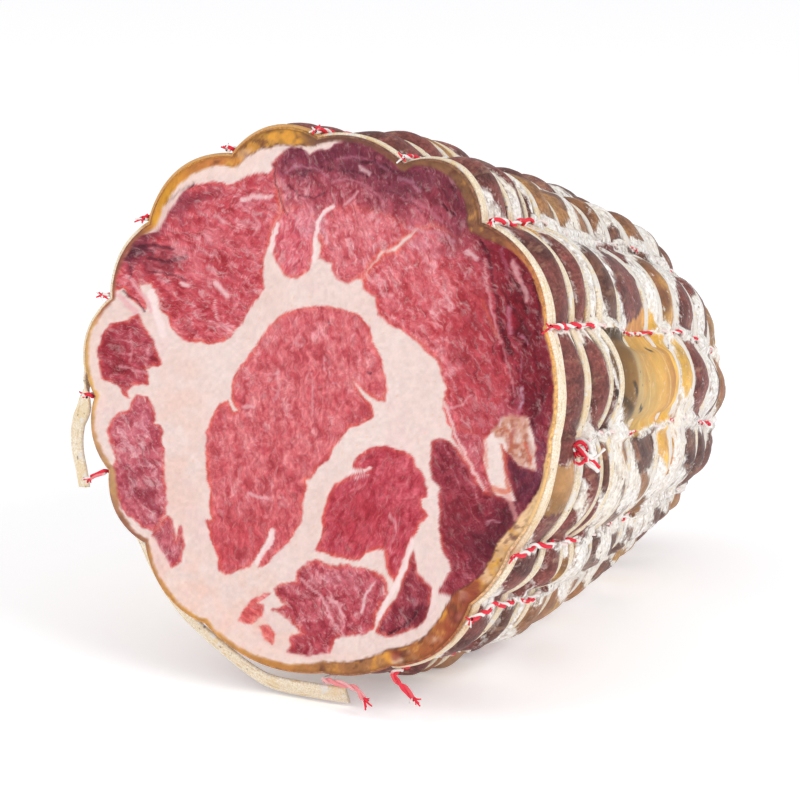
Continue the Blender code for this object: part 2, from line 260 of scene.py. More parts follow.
def mix(a, b, share):
    """A mixture of two colours or ways, or of arrays of them."""
    share = np.asarray(share)[..., None]
    return np.asarray(a, float) * (1 - share) + np.asarray(b, float) * share


def read_rows(places, known, values):
    """Rows of three values, read off between known places."""
    return np.stack([np.interp(places, known, values[:, k]) for k in range(3)], axis=-1)


def unit(ways):
    """Ways, each made one long."""
    return ways / np.maximum(np.linalg.norm(ways, axis=-1, keepdims=True), 1e-9)


def square_to(along, ways):
    """The part of ways that is square to a line, one long."""
    return unit(ways - along * (ways * along).sum(axis=1, keepdims=True))


def walk(line):
    """Distance walked at each point of a line."""
    return np.concatenate([[0], np.cumsum(np.linalg.norm(np.diff(line, axis=0), axis=1))])


def smooth_line(route, step):
    """Points step apart on a smooth curve through a route, and distances walked."""
    route = np.asarray(route, float)
    ends = np.concatenate([[route[0] * 2 - route[1]], route, [route[-1] * 2 - route[-2]]])
    fine = []
    for a, b, c, d in zip(ends, ends[1:], ends[2:], ends[3:]):
        bend, twist = 2 * a - 5 * b + 4 * c - d, 3 * b - a - 3 * c + d
        for t in np.linspace(0, 1, 24, endpoint=False):
            fine.append(0.5 * (2 * b + (c - a) * t + bend * t**2 + twist * t**3))
    fine = np.array(fine + [route[-1]])
    walked = walk(fine)
    wanted = np.linspace(0, walked[-1], max(int(round(walked[-1] / step)), 2) + 1)
    return read_rows(wanted, walked, fine), wanted


# The cut, in the photo's picture points
# Outlines of the muscles, the torn flap of fat and a lump of fat.
UPPER_LEFT_MUSCLE = [
    (186, 188), (192, 185), (208, 182), (232, 184), (246, 176), (256, 173), (266, 174), (272, 166),
    (276, 190), (279, 212), (273, 222), (269, 232), (267, 246), (263, 260), (261, 274), (262, 290),
    (258, 298), (252, 302), (244, 316), (238, 326), (231, 332), (230, 337), (220, 342), (204, 344),
    (186, 342), (176, 336), (168, 326), (166, 316), (160, 312), (158, 300), (152, 290), (148, 284),
    (138, 284), (144, 300), (144, 310), (138, 308), (124, 290), (112, 292), (116, 272), (128, 248),
    (136, 238), (150, 226), (160, 208), (170, 200),
]
TOP_MUSCLE = [
    (270, 162), (275, 157), (290, 149), (300, 149), (309, 155), (330, 147), (346, 141), (367, 142),
    (388, 157), (400, 168), (420, 157), (435, 158), (455, 170), (468, 190), (477, 212), (479, 225),
    (470, 232), (455, 240), (446, 233), (430, 226), (415, 230), (400, 238), (380, 246), (330, 240),
    (300, 236), (280, 212), (276, 190),
]
TOP_TONGUE = [
    (272, 226), (270, 248), (275, 262), (282, 274), (288, 279), (296, 279), (308, 270), (311, 258),
    (312, 248), (313, 232), (312, 214), (305, 205), (290, 206), (279, 212),
]
TOP_FOLD = [
    (313, 226), (320, 246), (318, 258), (330, 264), (330, 272), (336, 280), (346, 284), (356, 280),
    (362, 277), (370, 264), (380, 252), (396, 246), (404, 236), (402, 222), (380, 212), (350, 206),
    (322, 208), (314, 218),
]
RIGHT_MUSCLE = [
    (360, 280), (362, 288), (374, 298), (376, 314), (386, 324), (402, 332), (418, 344), (430, 356),
    (437, 362), (439, 372), (445, 390), (442, 410), (446, 424), (454, 435), (464, 439), (474, 436),
    (484, 440), (492, 432), (504, 417), (528, 418), (534, 440), (536, 470), (532, 500), (546, 484),
    (556, 440), (560, 400), (559, 360), (555, 328), (549, 297), (538, 266), (520, 244), (496, 236),
    (480, 225), (455, 236), (446, 232), (432, 226), (420, 228), (408, 238), (396, 250), (384, 252),
    (374, 262), (366, 272),
]
LEFT_MUSCLE = [
    (137, 314), (126, 320), (110, 324), (100, 338), (96, 356), (98, 379), (110, 381), (116, 384),
    (122, 396), (128, 399), (127, 390), (132, 384), (146, 385), (148, 376), (145, 368), (151, 366),
    (157, 368), (160, 364), (156, 354), (150, 340), (142, 322),
]
LOWER_LEFT_MUSCLE = [
    (134, 395), (146, 397), (154, 414), (152, 423), (158, 425), (161, 432), (161, 446), (163, 462),
    (163, 480), (166, 500), (164, 516), (160, 524), (152, 531), (142, 528), (126, 514), (115, 496),
    (112, 478), (115, 458), (111, 446), (107, 432), (110, 419), (116, 413), (126, 409),
]
LEFT_TAIL = [
    (166, 515), (169, 517), (173, 525), (175, 541), (177, 526), (180, 526), (183, 546), (180, 562),
    (168, 570), (162, 578), (154, 562), (149, 545), (152, 531), (160, 524),
]
MIDDLE_MUSCLE = [
    (320, 305), (342, 309), (358, 316), (368, 328), (372, 342), (380, 360), (384, 378), (386, 390),
    (384, 402), (376, 402), (366, 394), (352, 382), (360, 394), (370, 406), (372, 416), (358, 426),
    (348, 428), (340, 438), (332, 450), (326, 462), (316, 468), (310, 478), (304, 480), (305, 490),
    (302, 498), (301, 510), (300, 522), (294, 532), (288, 542), (276, 552), (266, 564), (256, 568),
    (262, 552), (272, 531), (268, 532), (258, 552), (250, 566), (236, 572), (226, 576), (218, 572),
    (216, 560), (213, 548), (206, 530), (203, 521), (209, 520), (208, 506), (208, 490), (205, 478),
    (204, 446), (204, 434), (210, 418), (218, 404), (226, 400), (232, 412), (236, 410), (230, 398),
    (230, 386), (234, 374), (246, 356), (258, 340), (268, 326), (280, 316), (296, 308),
]
LOWER_MUSCLE = [
    (350, 468), (357, 455), (370, 447), (386, 446), (402, 451), (412, 458), (420, 472), (426, 488),
    (426, 498), (420, 500), (421, 508), (427, 517), (418, 526), (412, 538), (408, 550), (400, 570),
    (392, 582), (386, 574), (383, 552), (376, 550), (364, 554), (358, 560), (344, 560), (330, 556),
    (312, 551), (320, 538), (321, 514), (326, 498), (332, 486), (344, 478), (356, 472), (368, 471),
]
BOTTOM_MUSCLE = [
    (296, 570), (304, 564), (314, 560), (332, 565), (348, 566), (364, 569), (380, 575), (386, 584),
    (387, 594), (380, 606), (374, 616), (372, 632), (358, 636), (338, 637), (332, 642), (330, 658),
    (320, 661), (308, 660), (286, 655), (290, 638), (300, 632), (288, 620), (274, 614), (272, 608),
    (284, 606), (276, 597), (272, 588), (280, 583), (294, 582),
]
BOTTOM_SCRAP = [
    (236, 622), (242, 611), (252, 598), (268, 593), (266, 598), (256, 603), (263, 606), (260, 617),
    (250, 624),
]
BOTTOM_CRUMB = [(257, 627), (266, 626), (273, 634), (272, 645), (263, 639)]
BOTTOM_WEDGE = [
    (412, 552), (415, 572), (430, 588), (428, 604), (425, 616), (416, 628), (390, 638), (374, 633),
    (378, 620), (388, 606), (396, 598), (401, 580), (408, 558),
]
LOWER_RIGHT_MUSCLE = [
    (430, 442), (438, 439), (450, 443), (461, 456), (470, 470), (475, 481), (485, 491), (498, 497),
    (510, 502), (524, 502), (534, 504), (530, 514), (518, 526), (504, 540), (501, 553), (502, 565),
    (496, 578), (483, 590), (470, 599), (440, 594), (434, 592), (446, 576), (448, 566), (440, 550),
    (438, 526), (437, 502), (439, 488), (430, 480), (428, 462),
]
RIGHT_STRIP = [
    (450, 426), (466, 430), (483, 434), (482, 457), (487, 480), (494, 495), (484, 492), (474, 481),
    (467, 463), (459, 450), (450, 437),
]
RIGHT_CORNER = [
    (501, 448), (509, 456), (519, 467), (533, 470), (547, 476), (543, 498), (532, 514), (518, 508),
    (511, 490), (503, 472),
]
FLAP = [
    (490, 431), (501, 416), (511, 413), (526, 416), (529, 426), (526, 440), (531, 443), (533, 469),
    (520, 467), (507, 453), (503, 441), (493, 434),
]
FAT_BLOB = [
    (420, 530), (432, 526), (436, 552), (446, 560), (450, 570), (442, 580), (436, 596), (432, 594),
    (428, 578), (416, 568), (413, 550),
]
# Each muscle: outline, seed, wobble of its edge, softness of its edge, colours
# deep inside and light, marbling share, marbling size, way of the fibres.
MUSCLES = [
    (UPPER_LEFT_MUSCLE, 1, 1.5, 1.4, (174, 54, 66), (212, 122, 130), 0.42, 7, 25),
    (TOP_MUSCLE, 2, 1.8, 2.2, (150, 56, 70), (200, 118, 130), 0.34, 8, 80),
    (TOP_TONGUE, 3, 1.0, 1.5, (190, 72, 86), (224, 142, 150), 0.34, 7, 100),
    (TOP_FOLD, 4, 1.6, 2.0, (186, 74, 84), (218, 140, 146), 0.44, 7, 70),
    (RIGHT_MUSCLE, 5, 1.4, 1.8, (180, 62, 72), (218, 132, 138), 0.42, 8, 60),
    (LEFT_MUSCLE, 6, 1.6, 1.3, (142, 38, 52), (190, 96, 108), 0.34, 8, 20),
    (LOWER_LEFT_MUSCLE, 7, 1.6, 1.5, (160, 60, 76), (208, 130, 140), 0.46, 7, 60),
    (LEFT_TAIL, 8, 1.2, 1.4, (152, 54, 70), (204, 126, 134), 0.42, 6, 85),
    (MIDDLE_MUSCLE, 9, 1.2, 1.3, (188, 76, 86), (220, 141, 143), 0.20, 8, 85),
    (LOWER_MUSCLE, 10, 1.2, 1.3, (168, 50, 66), (206, 104, 116), 0.14, 8, 110),
    (BOTTOM_MUSCLE, 11, 2.2, 1.8, (152, 48, 62), (204, 116, 126), 0.42, 8, 60),
    (BOTTOM_SCRAP, 12, 1.6, 1.6, (194, 76, 78), (226, 136, 130), 0.30, 6, 40),
    (BOTTOM_CRUMB, 13, 1.6, 1.8, (196, 84, 86), (226, 144, 138), 0.30, 6, 40),
    (BOTTOM_WEDGE, 14, 1.2, 1.6, (122, 34, 50), (168, 80, 92), 0.22, 8, 60),
    (LOWER_RIGHT_MUSCLE, 15, 1.4, 1.6, (120, 30, 46), (166, 76, 90), 0.18, 8, 65),
    (RIGHT_STRIP, 16, 1.2, 1.8, (168, 64, 78), (208, 124, 132), 0.34, 7, 70),
    (RIGHT_CORNER, 17, 1.4, 1.6, (94, 34, 52), (140, 68, 84), 0.12, 7, 80),
]
# Dark, dried places of the cut: middle, half width and half height, turn,
# colour, share, and whether their streaks run along the rim or inward.
DRY = [
    ((128, 250), (28, 24), 20, (92, 40, 58), 0.88, "inward"),
    ((150, 224), (28, 14), -40, (124, 48, 62), 0.65, "inward"),
    ((156, 262), (24, 13), 10, (128, 44, 58), 0.65, "inward"),
    ((176, 207), (32, 13), -32, (128, 54, 70), 0.72, "inward"),
    ((206, 196), (26, 8), -12, (146, 58, 72), 0.45, "along"),
    ((296, 164), (26, 14), 8, (116, 52, 72), 0.70, "along"),
    ((345, 158), (50, 20), 5, (112, 48, 68), 0.75, "along"),
    ((392, 176), (44, 24), 20, (118, 46, 64), 0.60, "along"),
    ((450, 192), (28, 26), 50, (122, 36, 48), 0.80, "along"),
    ((490, 350), (52, 120), 0, (150, 40, 52), 0.60, "along"),
    ((500, 262), (36, 18), 52, (128, 22, 38), 0.88, "along"),
    ((515, 320), (30, 56), 8, (124, 20, 38), 0.88, "along"),
    ((530, 385), (24, 54), 0, (108, 16, 36), 0.92, "along"),
    ((240, 540), (46, 30), -40, (188, 62, 72), 0.50, "along"),
    ((360, 520), (34, 26), 0, (172, 50, 62), 0.45, "along"),
    ((540, 445), (12, 62), 0, (106, 56, 78), 0.80, "along"),
    ((530, 490), (14, 24), 0, (104, 46, 72), 0.80, "along"),
    ((492, 545), (32, 38), 10, (94, 30, 46), 0.78, "inward"),
    ((505, 505), (20, 22), 0, (104, 32, 48), 0.70, "along"),
    ((455, 520), (18, 36), 0, (122, 34, 48), 0.50, "along"),
    ((110, 350), (14, 24), 0, (138, 36, 50), 0.45, "along"),
    ((130, 480), (22, 26), 30, (144, 56, 72), 0.40, "along"),
    ((150, 500), (12, 26), -10, (120, 34, 50), 0.45, "along"),
    ((425, 612), (22, 15), -25, (100, 28, 44), 0.72, "inward"),
    ((300, 645), (24, 12), 0, (152, 48, 60), 0.45, "inward"),
    ((376, 596), (10, 14), 0, (146, 42, 56), 0.40, "inward"),
]
# Where the lean has dried darker along the rim: start and end angle, colour and
# how far inward.
DRIED_RIM = [
    (344, 52, (108, 46, 64), 62.0),
    (36, 108, (116, 26, 42), 58.0),
    (104, 140, (96, 28, 46), 40.0),
]
# Pale, finely marbled places in the lean.
PALE = [
    ((310, 222), (18, 24), 0, (216, 166, 178), 0.55),
    ((350, 232), (26, 20), 0, (226, 156, 156), 0.35),
    ((245, 200), (20, 8), 0, (220, 162, 168), 0.45),
    ((215, 250), (40, 34), 0, (222, 142, 148), 0.25),
    ((428, 246), (34, 10), 18, (216, 176, 188), 0.45),
    ((448, 296), (24, 22), 40, (226, 154, 156), 0.35),
    ((290, 340), (40, 34), 0, (222, 132, 142), 0.25),
    ((508, 412), (14, 20), 20, (190, 124, 142), 0.40),
    ((345, 580), (30, 16), 0, (210, 138, 152), 0.40),
    ((290, 600), (20, 12), 40, (220, 140, 144), 0.30),
    ((142, 420), (12, 16), 0, (202, 128, 144), 0.40),
    ((452, 470), (16, 14), 0, (202, 110, 128), 0.45),
]
WHITE_FAT = (236, 214, 212)
PINK_FAT = (222, 168, 172)
LILAC = (202, 152, 172)
EMBER = (208, 98, 74)
# Lines in the lean: route, half width, softness, colour, share.
FAT_LINES = [
    ([(270, 250), (272, 238), (276, 224)], 1.6, 1.2, WHITE_FAT, 0.9),
    ([(313, 262), (314, 240), (316, 222), (322, 212), (332, 206)], 1.6, 1.4, WHITE_FAT, 0.9),
    ([(214, 284), (222, 290), (226, 296)], 1.8, 1.5, WHITE_FAT, 0.75),
    ([(214, 300), (214, 316), (222, 326), (230, 332)], 0.5, 1.0, WHITE_FAT, 0.65),
    ([(180, 283), (187, 286)], 1.6, 1.6, WHITE_FAT, 0.7),
    ([(206, 268), (214, 272)], 1.2, 1.6, WHITE_FAT, 0.55),
    ([(240, 200), (252, 196), (262, 198), (270, 196)], 1.6, 1.8, WHITE_FAT, 0.7),
    ([(252, 214), (258, 226), (252, 236)], 1.0, 1.6, PINK_FAT, 0.6),
    ([(214, 216), (222, 222)], 1.4, 1.4, PINK_FAT, 0.7),
    ([(150, 292), (152, 306), (158, 322), (160, 334)], 3.0, 1.4, WHITE_FAT, 0.95),
    ([(126, 276), (138, 290), (146, 300), (150, 312)], 1.4, 1.4, PINK_FAT, 0.8),
    ([(112, 292), (124, 300), (134, 312)], 1.8, 1.4, PINK_FAT, 0.8),
    ([(272, 531), (266, 546), (256, 562)], 2.4, 1.4, WHITE_FAT, 0.9),
    ([(348, 472), (358, 470), (369, 469)], 1.3, 1.2, WHITE_FAT, 0.85),
    ([(354, 477), (366, 475)], 0.8, 1.2, WHITE_FAT, 0.6),
    ([(387, 515), (392, 520), (396, 530)], 0.6, 1.2, PINK_FAT, 0.7),
    ([(310, 374), (311, 386), (311, 414)], 0.4, 1.0, PINK_FAT, 0.60),
    ([(276, 372), (278, 388), (272, 402)], 0.7, 1.6, PINK_FAT, 0.55),
    ([(322, 358), (322, 370)], 0.5, 1.0, PINK_FAT, 0.55),
    ([(292, 342), (300, 346)], 0.9, 1.6, PINK_FAT, 0.55),
    ([(262, 374), (276, 374)], 0.4, 1.0, PINK_FAT, 0.5),
    ([(242, 406), (252, 407)], 1.2, 1.4, PINK_FAT, 0.7),
    ([(246, 494), (256, 497), (266, 498)], 1.2, 1.4, PINK_FAT, 0.8),
    ([(118, 366), (134, 372), (146, 372)], 0.8, 1.2, PINK_FAT, 0.6),
    ([(128, 330), (130, 346), (128, 362)], 0.6, 1.2, PINK_FAT, 0.5),
    ([(112, 340), (130, 342)], 0.5, 1.2, PINK_FAT, 0.4),
    ([(112, 352), (128, 354)], 0.5, 1.2, PINK_FAT, 0.4),
    ([(408, 228), (420, 232), (432, 232), (444, 236), (452, 242)], 0.7, 1.8, (212, 164, 176), 0.55),
    ([(284, 172), (296, 166), (312, 168), (326, 176)], 0.7, 1.8, (206, 150, 166), 0.45),
    ([(336, 160), (352, 156), (370, 160), (386, 170)], 0.6, 1.8, (196, 140, 158), 0.45),
    ([(330, 182), (346, 178), (362, 184), (376, 194), (384, 206)], 0.6, 1.8, (208, 152, 164), 0.45),
    ([(400, 198), (416, 202), (430, 212), (440, 222)], 0.7, 1.8, (206, 148, 162), 0.45),
    ([(466, 252), (474, 258)], 1.8, 2.0, WHITE_FAT, 0.65),
    ([(344, 204), (352, 198), (356, 192)], 1.0, 1.6, PINK_FAT, 0.7),
    ([(398, 178), (410, 182), (418, 192)], 0.9, 1.8, LILAC, 0.45),
    ([(360, 168), (368, 174)], 1.4, 1.6, WHITE_FAT, 0.6),
    ([(484, 258), (486, 290), (494, 322), (499, 344)], 0.6, 1.4, PINK_FAT, 0.65),
    ([(480, 300), (490, 322), (496, 338)], 0.9, 2.2, EMBER, 0.50),
    ([(512, 262), (518, 278), (523, 292), (525, 300)], 1.9, 2.2, (222, 176, 176), 0.75),
    ([(507, 308), (508, 322), (510, 334)], 1.2, 2.2, LILAC, 0.55),
    ([(517, 334), (527, 344)], 0.5, 1.0, LILAC, 0.6),
    ([(502, 348), (508, 372), (514, 396)], 0.6, 1.2, PINK_FAT, 0.5),
    ([(519, 352), (519, 380)], 0.5, 1.2, LILAC, 0.4),
    ([(520, 388), (522, 402), (519, 410)], 0.7, 1.6, (206, 180, 196), 0.7),
    ([(500, 250), (504, 262), (506, 276)], 0.9, 2.0, LILAC, 0.35),
    ([(448, 408), (462, 404), (470, 396)], 0.6, 1.4, PINK_FAT, 0.6),
    ([(444, 404), (449, 420), (456, 440), (466, 458), (474, 476), (482, 490)], 0.9, 1.4, WHITE_FAT, 0.75),
    ([(500, 490), (508, 497), (511, 508), (514, 518)], 2.0, 2.0, (214, 156, 150), 0.7),
    ([(485, 525), (491, 520), (498, 523)], 0.7, 1.4, (206, 168, 176), 0.5),
    ([(500, 446), (504, 462), (504, 478), (509, 492)], 0.9, 1.6, (190, 78, 58), 0.65),
    ([(493, 489), (500, 492), (507, 491)], 2.4, 2.4, (202, 98, 74), 0.6),
    ([(486, 438), (484, 452), (487, 470)], 0.5, 1.4, (214, 120, 104), 0.6),
    ([(524, 444), (528, 454), (530, 464)], 0.9, 1.5, (196, 88, 64), 0.7),
    ([(496, 432), (504, 428), (512, 440), (508, 452)], 0.7, 1.6, (178, 96, 70), 0.7),
    ([(300, 580), (322, 600), (330, 620), (342, 636)], 0.7, 1.4, PINK_FAT, 0.7),
    ([(372, 584), (364, 596), (360, 612)], 0.9, 1.6, WHITE_FAT, 0.7),
    ([(326, 598), (338, 606), (342, 622)], 1.0, 1.6, PINK_FAT, 0.7),
    ([(412, 540), (404, 560), (396, 584), (386, 600), (378, 618)], 1.9, 1.6, WHITE_FAT, 0.9),
]
# Dark lines: route, half width, share.
DARK_LINES = [
    ([(192, 184), (178, 192), (165, 203)], 1.3, 1.0),
    ([(272, 164), (274, 184), (280, 204), (286, 214)], 0.8, 0.5),
    ([(440, 204), (446, 210), (452, 214)], 1.2, 0.8),
    ([(286, 186), (298, 196), (312, 198), (322, 192)], 0.8, 0.45),
    ([(318, 166), (336, 172), (352, 170), (366, 176)], 0.7, 0.45),
    ([(372, 190), (390, 192), (408, 200), (420, 212)], 0.7, 0.40),
    ([(388, 634), (400, 628), (412, 616), (420, 606)], 1.0, 0.6),
    ([(122, 292), (136, 300), (142, 312)], 0.8, 0.6),
    ([(138, 246), (150, 245), (172, 250)], 1.6, 0.5),
    ([(148, 258), (162, 262), (184, 258)], 1.6, 0.5),
    ([(152, 272), (168, 274), (184, 280)], 1.2, 0.4),
    ([(124, 258), (130, 270), (128, 280)], 0.8, 0.4),
    ([(478, 240), (488, 256), (492, 290), (500, 330)], 1.4, 0.55),
    ([(498, 330), (512, 360), (516, 372)], 0.8, 0.5),
    ([(534, 268), (538, 300), (536, 330)], 1.0, 0.4),
    ([(326, 322), (330, 326)], 0.8, 0.4),
    ([(366, 372), (370, 373)], 0.9, 0.6),
]
# The rim: angle at the middle of the cut clockwise from the top, width of the
# dry edge, width of the fat under it, and the edge's colour.
RIM = [
    (0, 4, 0, (112, 76, 62)), (12, 3, 0, (118, 74, 62)), (24, 5, 0, (128, 88, 62)),
    (30, 9, 0, (130, 92, 64)), (40, 12, 0, (132, 90, 64)), (47, 11, 0, (130, 82, 60)),
    (54, 3, 0, (178, 112, 66)), (66, 1.2, 0, (224, 164, 90)), (78, 1.0, 0, (230, 178, 104)),
    (88, 1.2, 0, (230, 182, 112)), (96, 1.8, 0, (226, 182, 120)), (104, 2, 0, (222, 180, 122)),
    (112, 3, 0, (222, 184, 132)), (118, 8, 0, (226, 190, 148)), (124, 13, 0, (224, 188, 146)),
    (130, 14, 0, (210, 168, 122)), (136, 13, 0, (186, 132, 78)), (142, 17, 0, (168, 104, 62)),
    (148, 22, 0, (162, 88, 56)), (154, 20, 0, (158, 88, 54)), (160, 17, 0, (160, 100, 58)),
    (166, 14, 0, (160, 110, 72)), (174, 12, 8, (156, 106, 68)), (182, 8, 8, (174, 118, 68)),
    (190, 5, 14, (190, 132, 70)), (200, 3, 20, (200, 146, 84)), (212, 3, 20, (200, 144, 78)),
    (224, 3, 12, (190, 136, 86)), (233, 3, 3, (148, 98, 78)), (241, 4, 1, (166, 116, 88)),
    (247, 7, 0, (194, 150, 106)), (254, 4, 0, (190, 146, 104)), (262, 3, 3, (192, 146, 102)),
    (270, 2.5, 10, (206, 160, 98)), (280, 2.5, 9, (208, 162, 102)), (288, 2.5, 8, (206, 156, 98)),
    (291, 3, 4, (186, 130, 102)), (294, 2.5, 0, (160, 98, 78)), (304, 2.5, 0, (142, 82, 68)),
    (313, 3, 0, (146, 92, 70)), (317, 5, 4, (206, 140, 62)), (324, 8, 8, (216, 154, 52)),
    (332, 8, 8, (192, 122, 62)), (338, 8, 9, (186, 116, 64)), (345, 12, 11, (190, 132, 62)),
    (350, 17, 3, (182, 132, 62)), (355, 16, 0, (156, 112, 62)), (360, 6, 0, (118, 82, 64)),
]
MIDDLE = (316, 400)
# Blotches of the dry edge: colour, share, size and seed of their noise, from
# and to where it shows, and how wide the edge must be.
CRUST = [
    ((206, 150, 82), 0.65, 6, 31, (0.2, 0.8), (5, 12)),
    ((84, 52, 40), 0.55, 5, 34, (0.25, 0.8), (5, 12)),
    ((86, 46, 42), 0.70, 12, 29, (0.25, 0.9), (2.5, 8)),
    ((226, 158, 62), 0.8, 17, 33, (0.15, 0.7), (8, 14)),
    ((232, 196, 170), 0.75, 22, 30, (0.45, 0.9), (8, 14)),
    ((126, 44, 40), 0.6, 20, 32, (0.2, 0.9), (9, 15)),
]
# The fat, and its warmer places: middle, half width and half height, turn,
# colour, share, and from which unevenness on they show.
FAT = np.array([224.0, 202.0, 195.0])
WARM_FAT = [
    ((178, 450), (38, 120), 0, (226, 190, 178), 0.60, (-0.6, 0.3)),
    ((225, 605), (100, 56), 20, (226, 184, 168), 0.65, (-0.7, 0.0)),
]
# Colour of the veins, share of its colour that the lean keeps, and the distance
# from the middle at which the streaks of the dried lean have their size.
VEIN = (238, 212, 212)
MEAT_SHADE = (0.98, 0.92, 0.925)
STREAK_RADIUS = 190


def rim_value(angle, column):
    """A value of the rim table at an angle."""
    known = np.array([row[0] for row in RIM], float)
    values = np.array([row[column] for row in RIM], float)
    if values.ndim == 1:
        return np.interp(angle, known, values)
    return read_rows(angle, known, values)


class CutPaint:
    """The cut face at places in picture points: its colours, relief and tissues,
    laid on one after the other. rim is the distance from the rim."""

    def __init__(self, x, y, rim):
        self.x, self.y, self.rim = x, y, rim
        self.wx, self.wy = rough(x, y, 9, 3), rough(x, y, 9, 4)
        self.fine_x, self.fine_y = noise(x, y, 3.2, 5), noise(x, y, 3.2, 6)
        self.grain = rough(x, y, 3.4, 8, 2)
        self.patch = rough(x, y, 16, 10, 3)
        self.angle = np.degrees(np.arctan2(x - MIDDLE[0], MIDDLE[1] - y)) % 360
        moved_x, moved_y = self.moved(5)
        off_x, off_y = moved_x - MIDDLE[0], moved_y - MIDDLE[1]
        reach, turn = np.hypot(off_x, off_y), np.arctan2(off_x, -off_y) * STREAK_RADIUS
        self.streaks = {
            "along": rough(turn * 0.16, reach, 5.0, 22, 3),
            "inward": rough(turn, reach * 0.22, 6.0, 23, 3),
        }
        self.fibre = np.stack([x * 0.5, y, x * 0], axis=-1)
        self.depth = np.full(x.shape, -99.0)
        self.lean, self.veined, self.dried, self.relief, self.cracks = np.zeros((5,) + x.shape)
        self.lay_fat()
        for muscle in MUSCLES:
            self.lay_muscle(*muscle)
        self.lay_dried_and_pale()
        self.lay_flap()
        self.lay_lines()
        self.lay_rim()
        self.colour = self.colour * (1 + 0.020 * self.grain[..., None])
        self.lay(self.colour * MEAT_SHADE, np.clip(self.lean, 0, 1))
        self.colour = np.clip(self.colour, 0, 255)

    def moved(self, coarse, fine=0.0):
        """The places, pushed about coarsely and finely."""
        return (
            self.x + coarse * self.wx + fine * self.fine_x,
            self.y + coarse * self.wy + fine * self.fine_y,
        )

    def lay(self, tint, share):
        """A colour, or colours, over what is there."""
        self.colour = mix(self.colour, tint, share)

    def lay_fat(self):
        """Fat everywhere, warmer on the left and below, with a few specks."""
        x, y, patch = self.x, self.y, self.patch
        along, across = stretched(*self.moved(6), 100)
        cloud, thread = rough(x, y, 46, 9, 3), noise(along, across * 5, 16, 12)
        fat = FAT + cloud[..., None] * (3, 6, 7) + (thread * 1.6)[..., None] * (1.0, 1.4, 1.6)
        for middle, half, turn, tint, share, (low, more) in WARM_FAT:
            amount = share * blob(x, y, middle, half, turn) * ease(low, 0.8, patch + more)
            fat = mix(fat, tint, amount)
        fat = mix(fat, (226, 192, 192), 0.32 * ease(0.25, 0.9, rough(x, y, 22, 14)))
        fat = fat + self.grain[..., None] * 2.2
        specks = (1 - ease(0.02, 0.075, cells(x, y, 15, 15)[0])) * ease(-0.1, 0.2, noise(x, y, 30, 16))
        self.fat = mix(fat, (226, 172, 130), 0.5 * specks)
        self.colour = self.fat

    def lay_muscle(self, outline, seed, wobble, soft, deep, light, marbling, size, way):
        """A muscle with its fibres, seams and veins of fat, redder at its edge."""
        x, y, fine_x, fine_y = self.x, self.y, self.fine_x, self.fine_y
        inside = depth_in(
            x + wobble * (self.wx + 0.3 * fine_x), y + wobble * (self.wy + 0.3 * fine_y), outline
        )
        blend = 0.8 * soft + 6.0 * self.lean
        share = ease(-blend, blend, inside)
        along, across = stretched(*self.moved(3), way)
        ahead = inside > self.depth
        self.fibre[ahead] = np.stack([along * 0.38, across, along * 0 + 9.0 * seed], axis=-1)[ahead]
        self.veined = np.where(ahead, marbling, self.veined)
        near, after = cells(along * 0.7 + 2 * fine_x, across + 2 * fine_y, 6.0, 40 + seed)
        seams = 1 - ease(0.02, 0.26, after - near)
        bits = rough(along * 0.6, across, 5.5, 60 + seed, 2)
        tone = 0.34 + 0.22 * self.patch + 0.34 * bits + 0.16 * self.grain + 0.26 * seams
        muscle = mix(deep, light, np.clip(tone, 0, 1))
        spread = 0.5 + 0.5 * rough(x, y, 26, 90 + seed, 2)
        veins = rough(along * 0.55 + 1.2 * fine_x, across + 1.2 * fine_y, size, 80 + seed, 3)
        flecks = ease(0.58, 1.05, veins + 0.25 * seams + 0.9 * marbling * spread)
        muscle = mix(muscle, mix(light, VEIN, 0.70), np.clip(flecks * (0.25 + 0.7 * marbling), 0, 0.65))
        muscle = mix(muscle, np.multiply(deep, 0.86), 0.5 * ease(0.45, 1.0, -bits - 0.4 * self.patch))
        edge = (1 - ease(0.5, 5.5, inside)) * (0.65 + 0.4 * noise(x, y, 20, 20))
        muscle = mix(muscle, (220, 100, 82), np.clip(edge, 0, 0.9) * 0.7)
        self.lay(muscle, share)
        self.lean = np.maximum(self.lean, share)
        self.depth = np.maximum(self.depth, inside)

    def lay_dry(self, tint, amount, streak, height=1.0):
        """Dried lean, with its streaks raised."""
        self.lay(tint, amount)
        self.relief = self.relief + height * amount * streak
        self.dried = np.maximum(self.dried, amount)

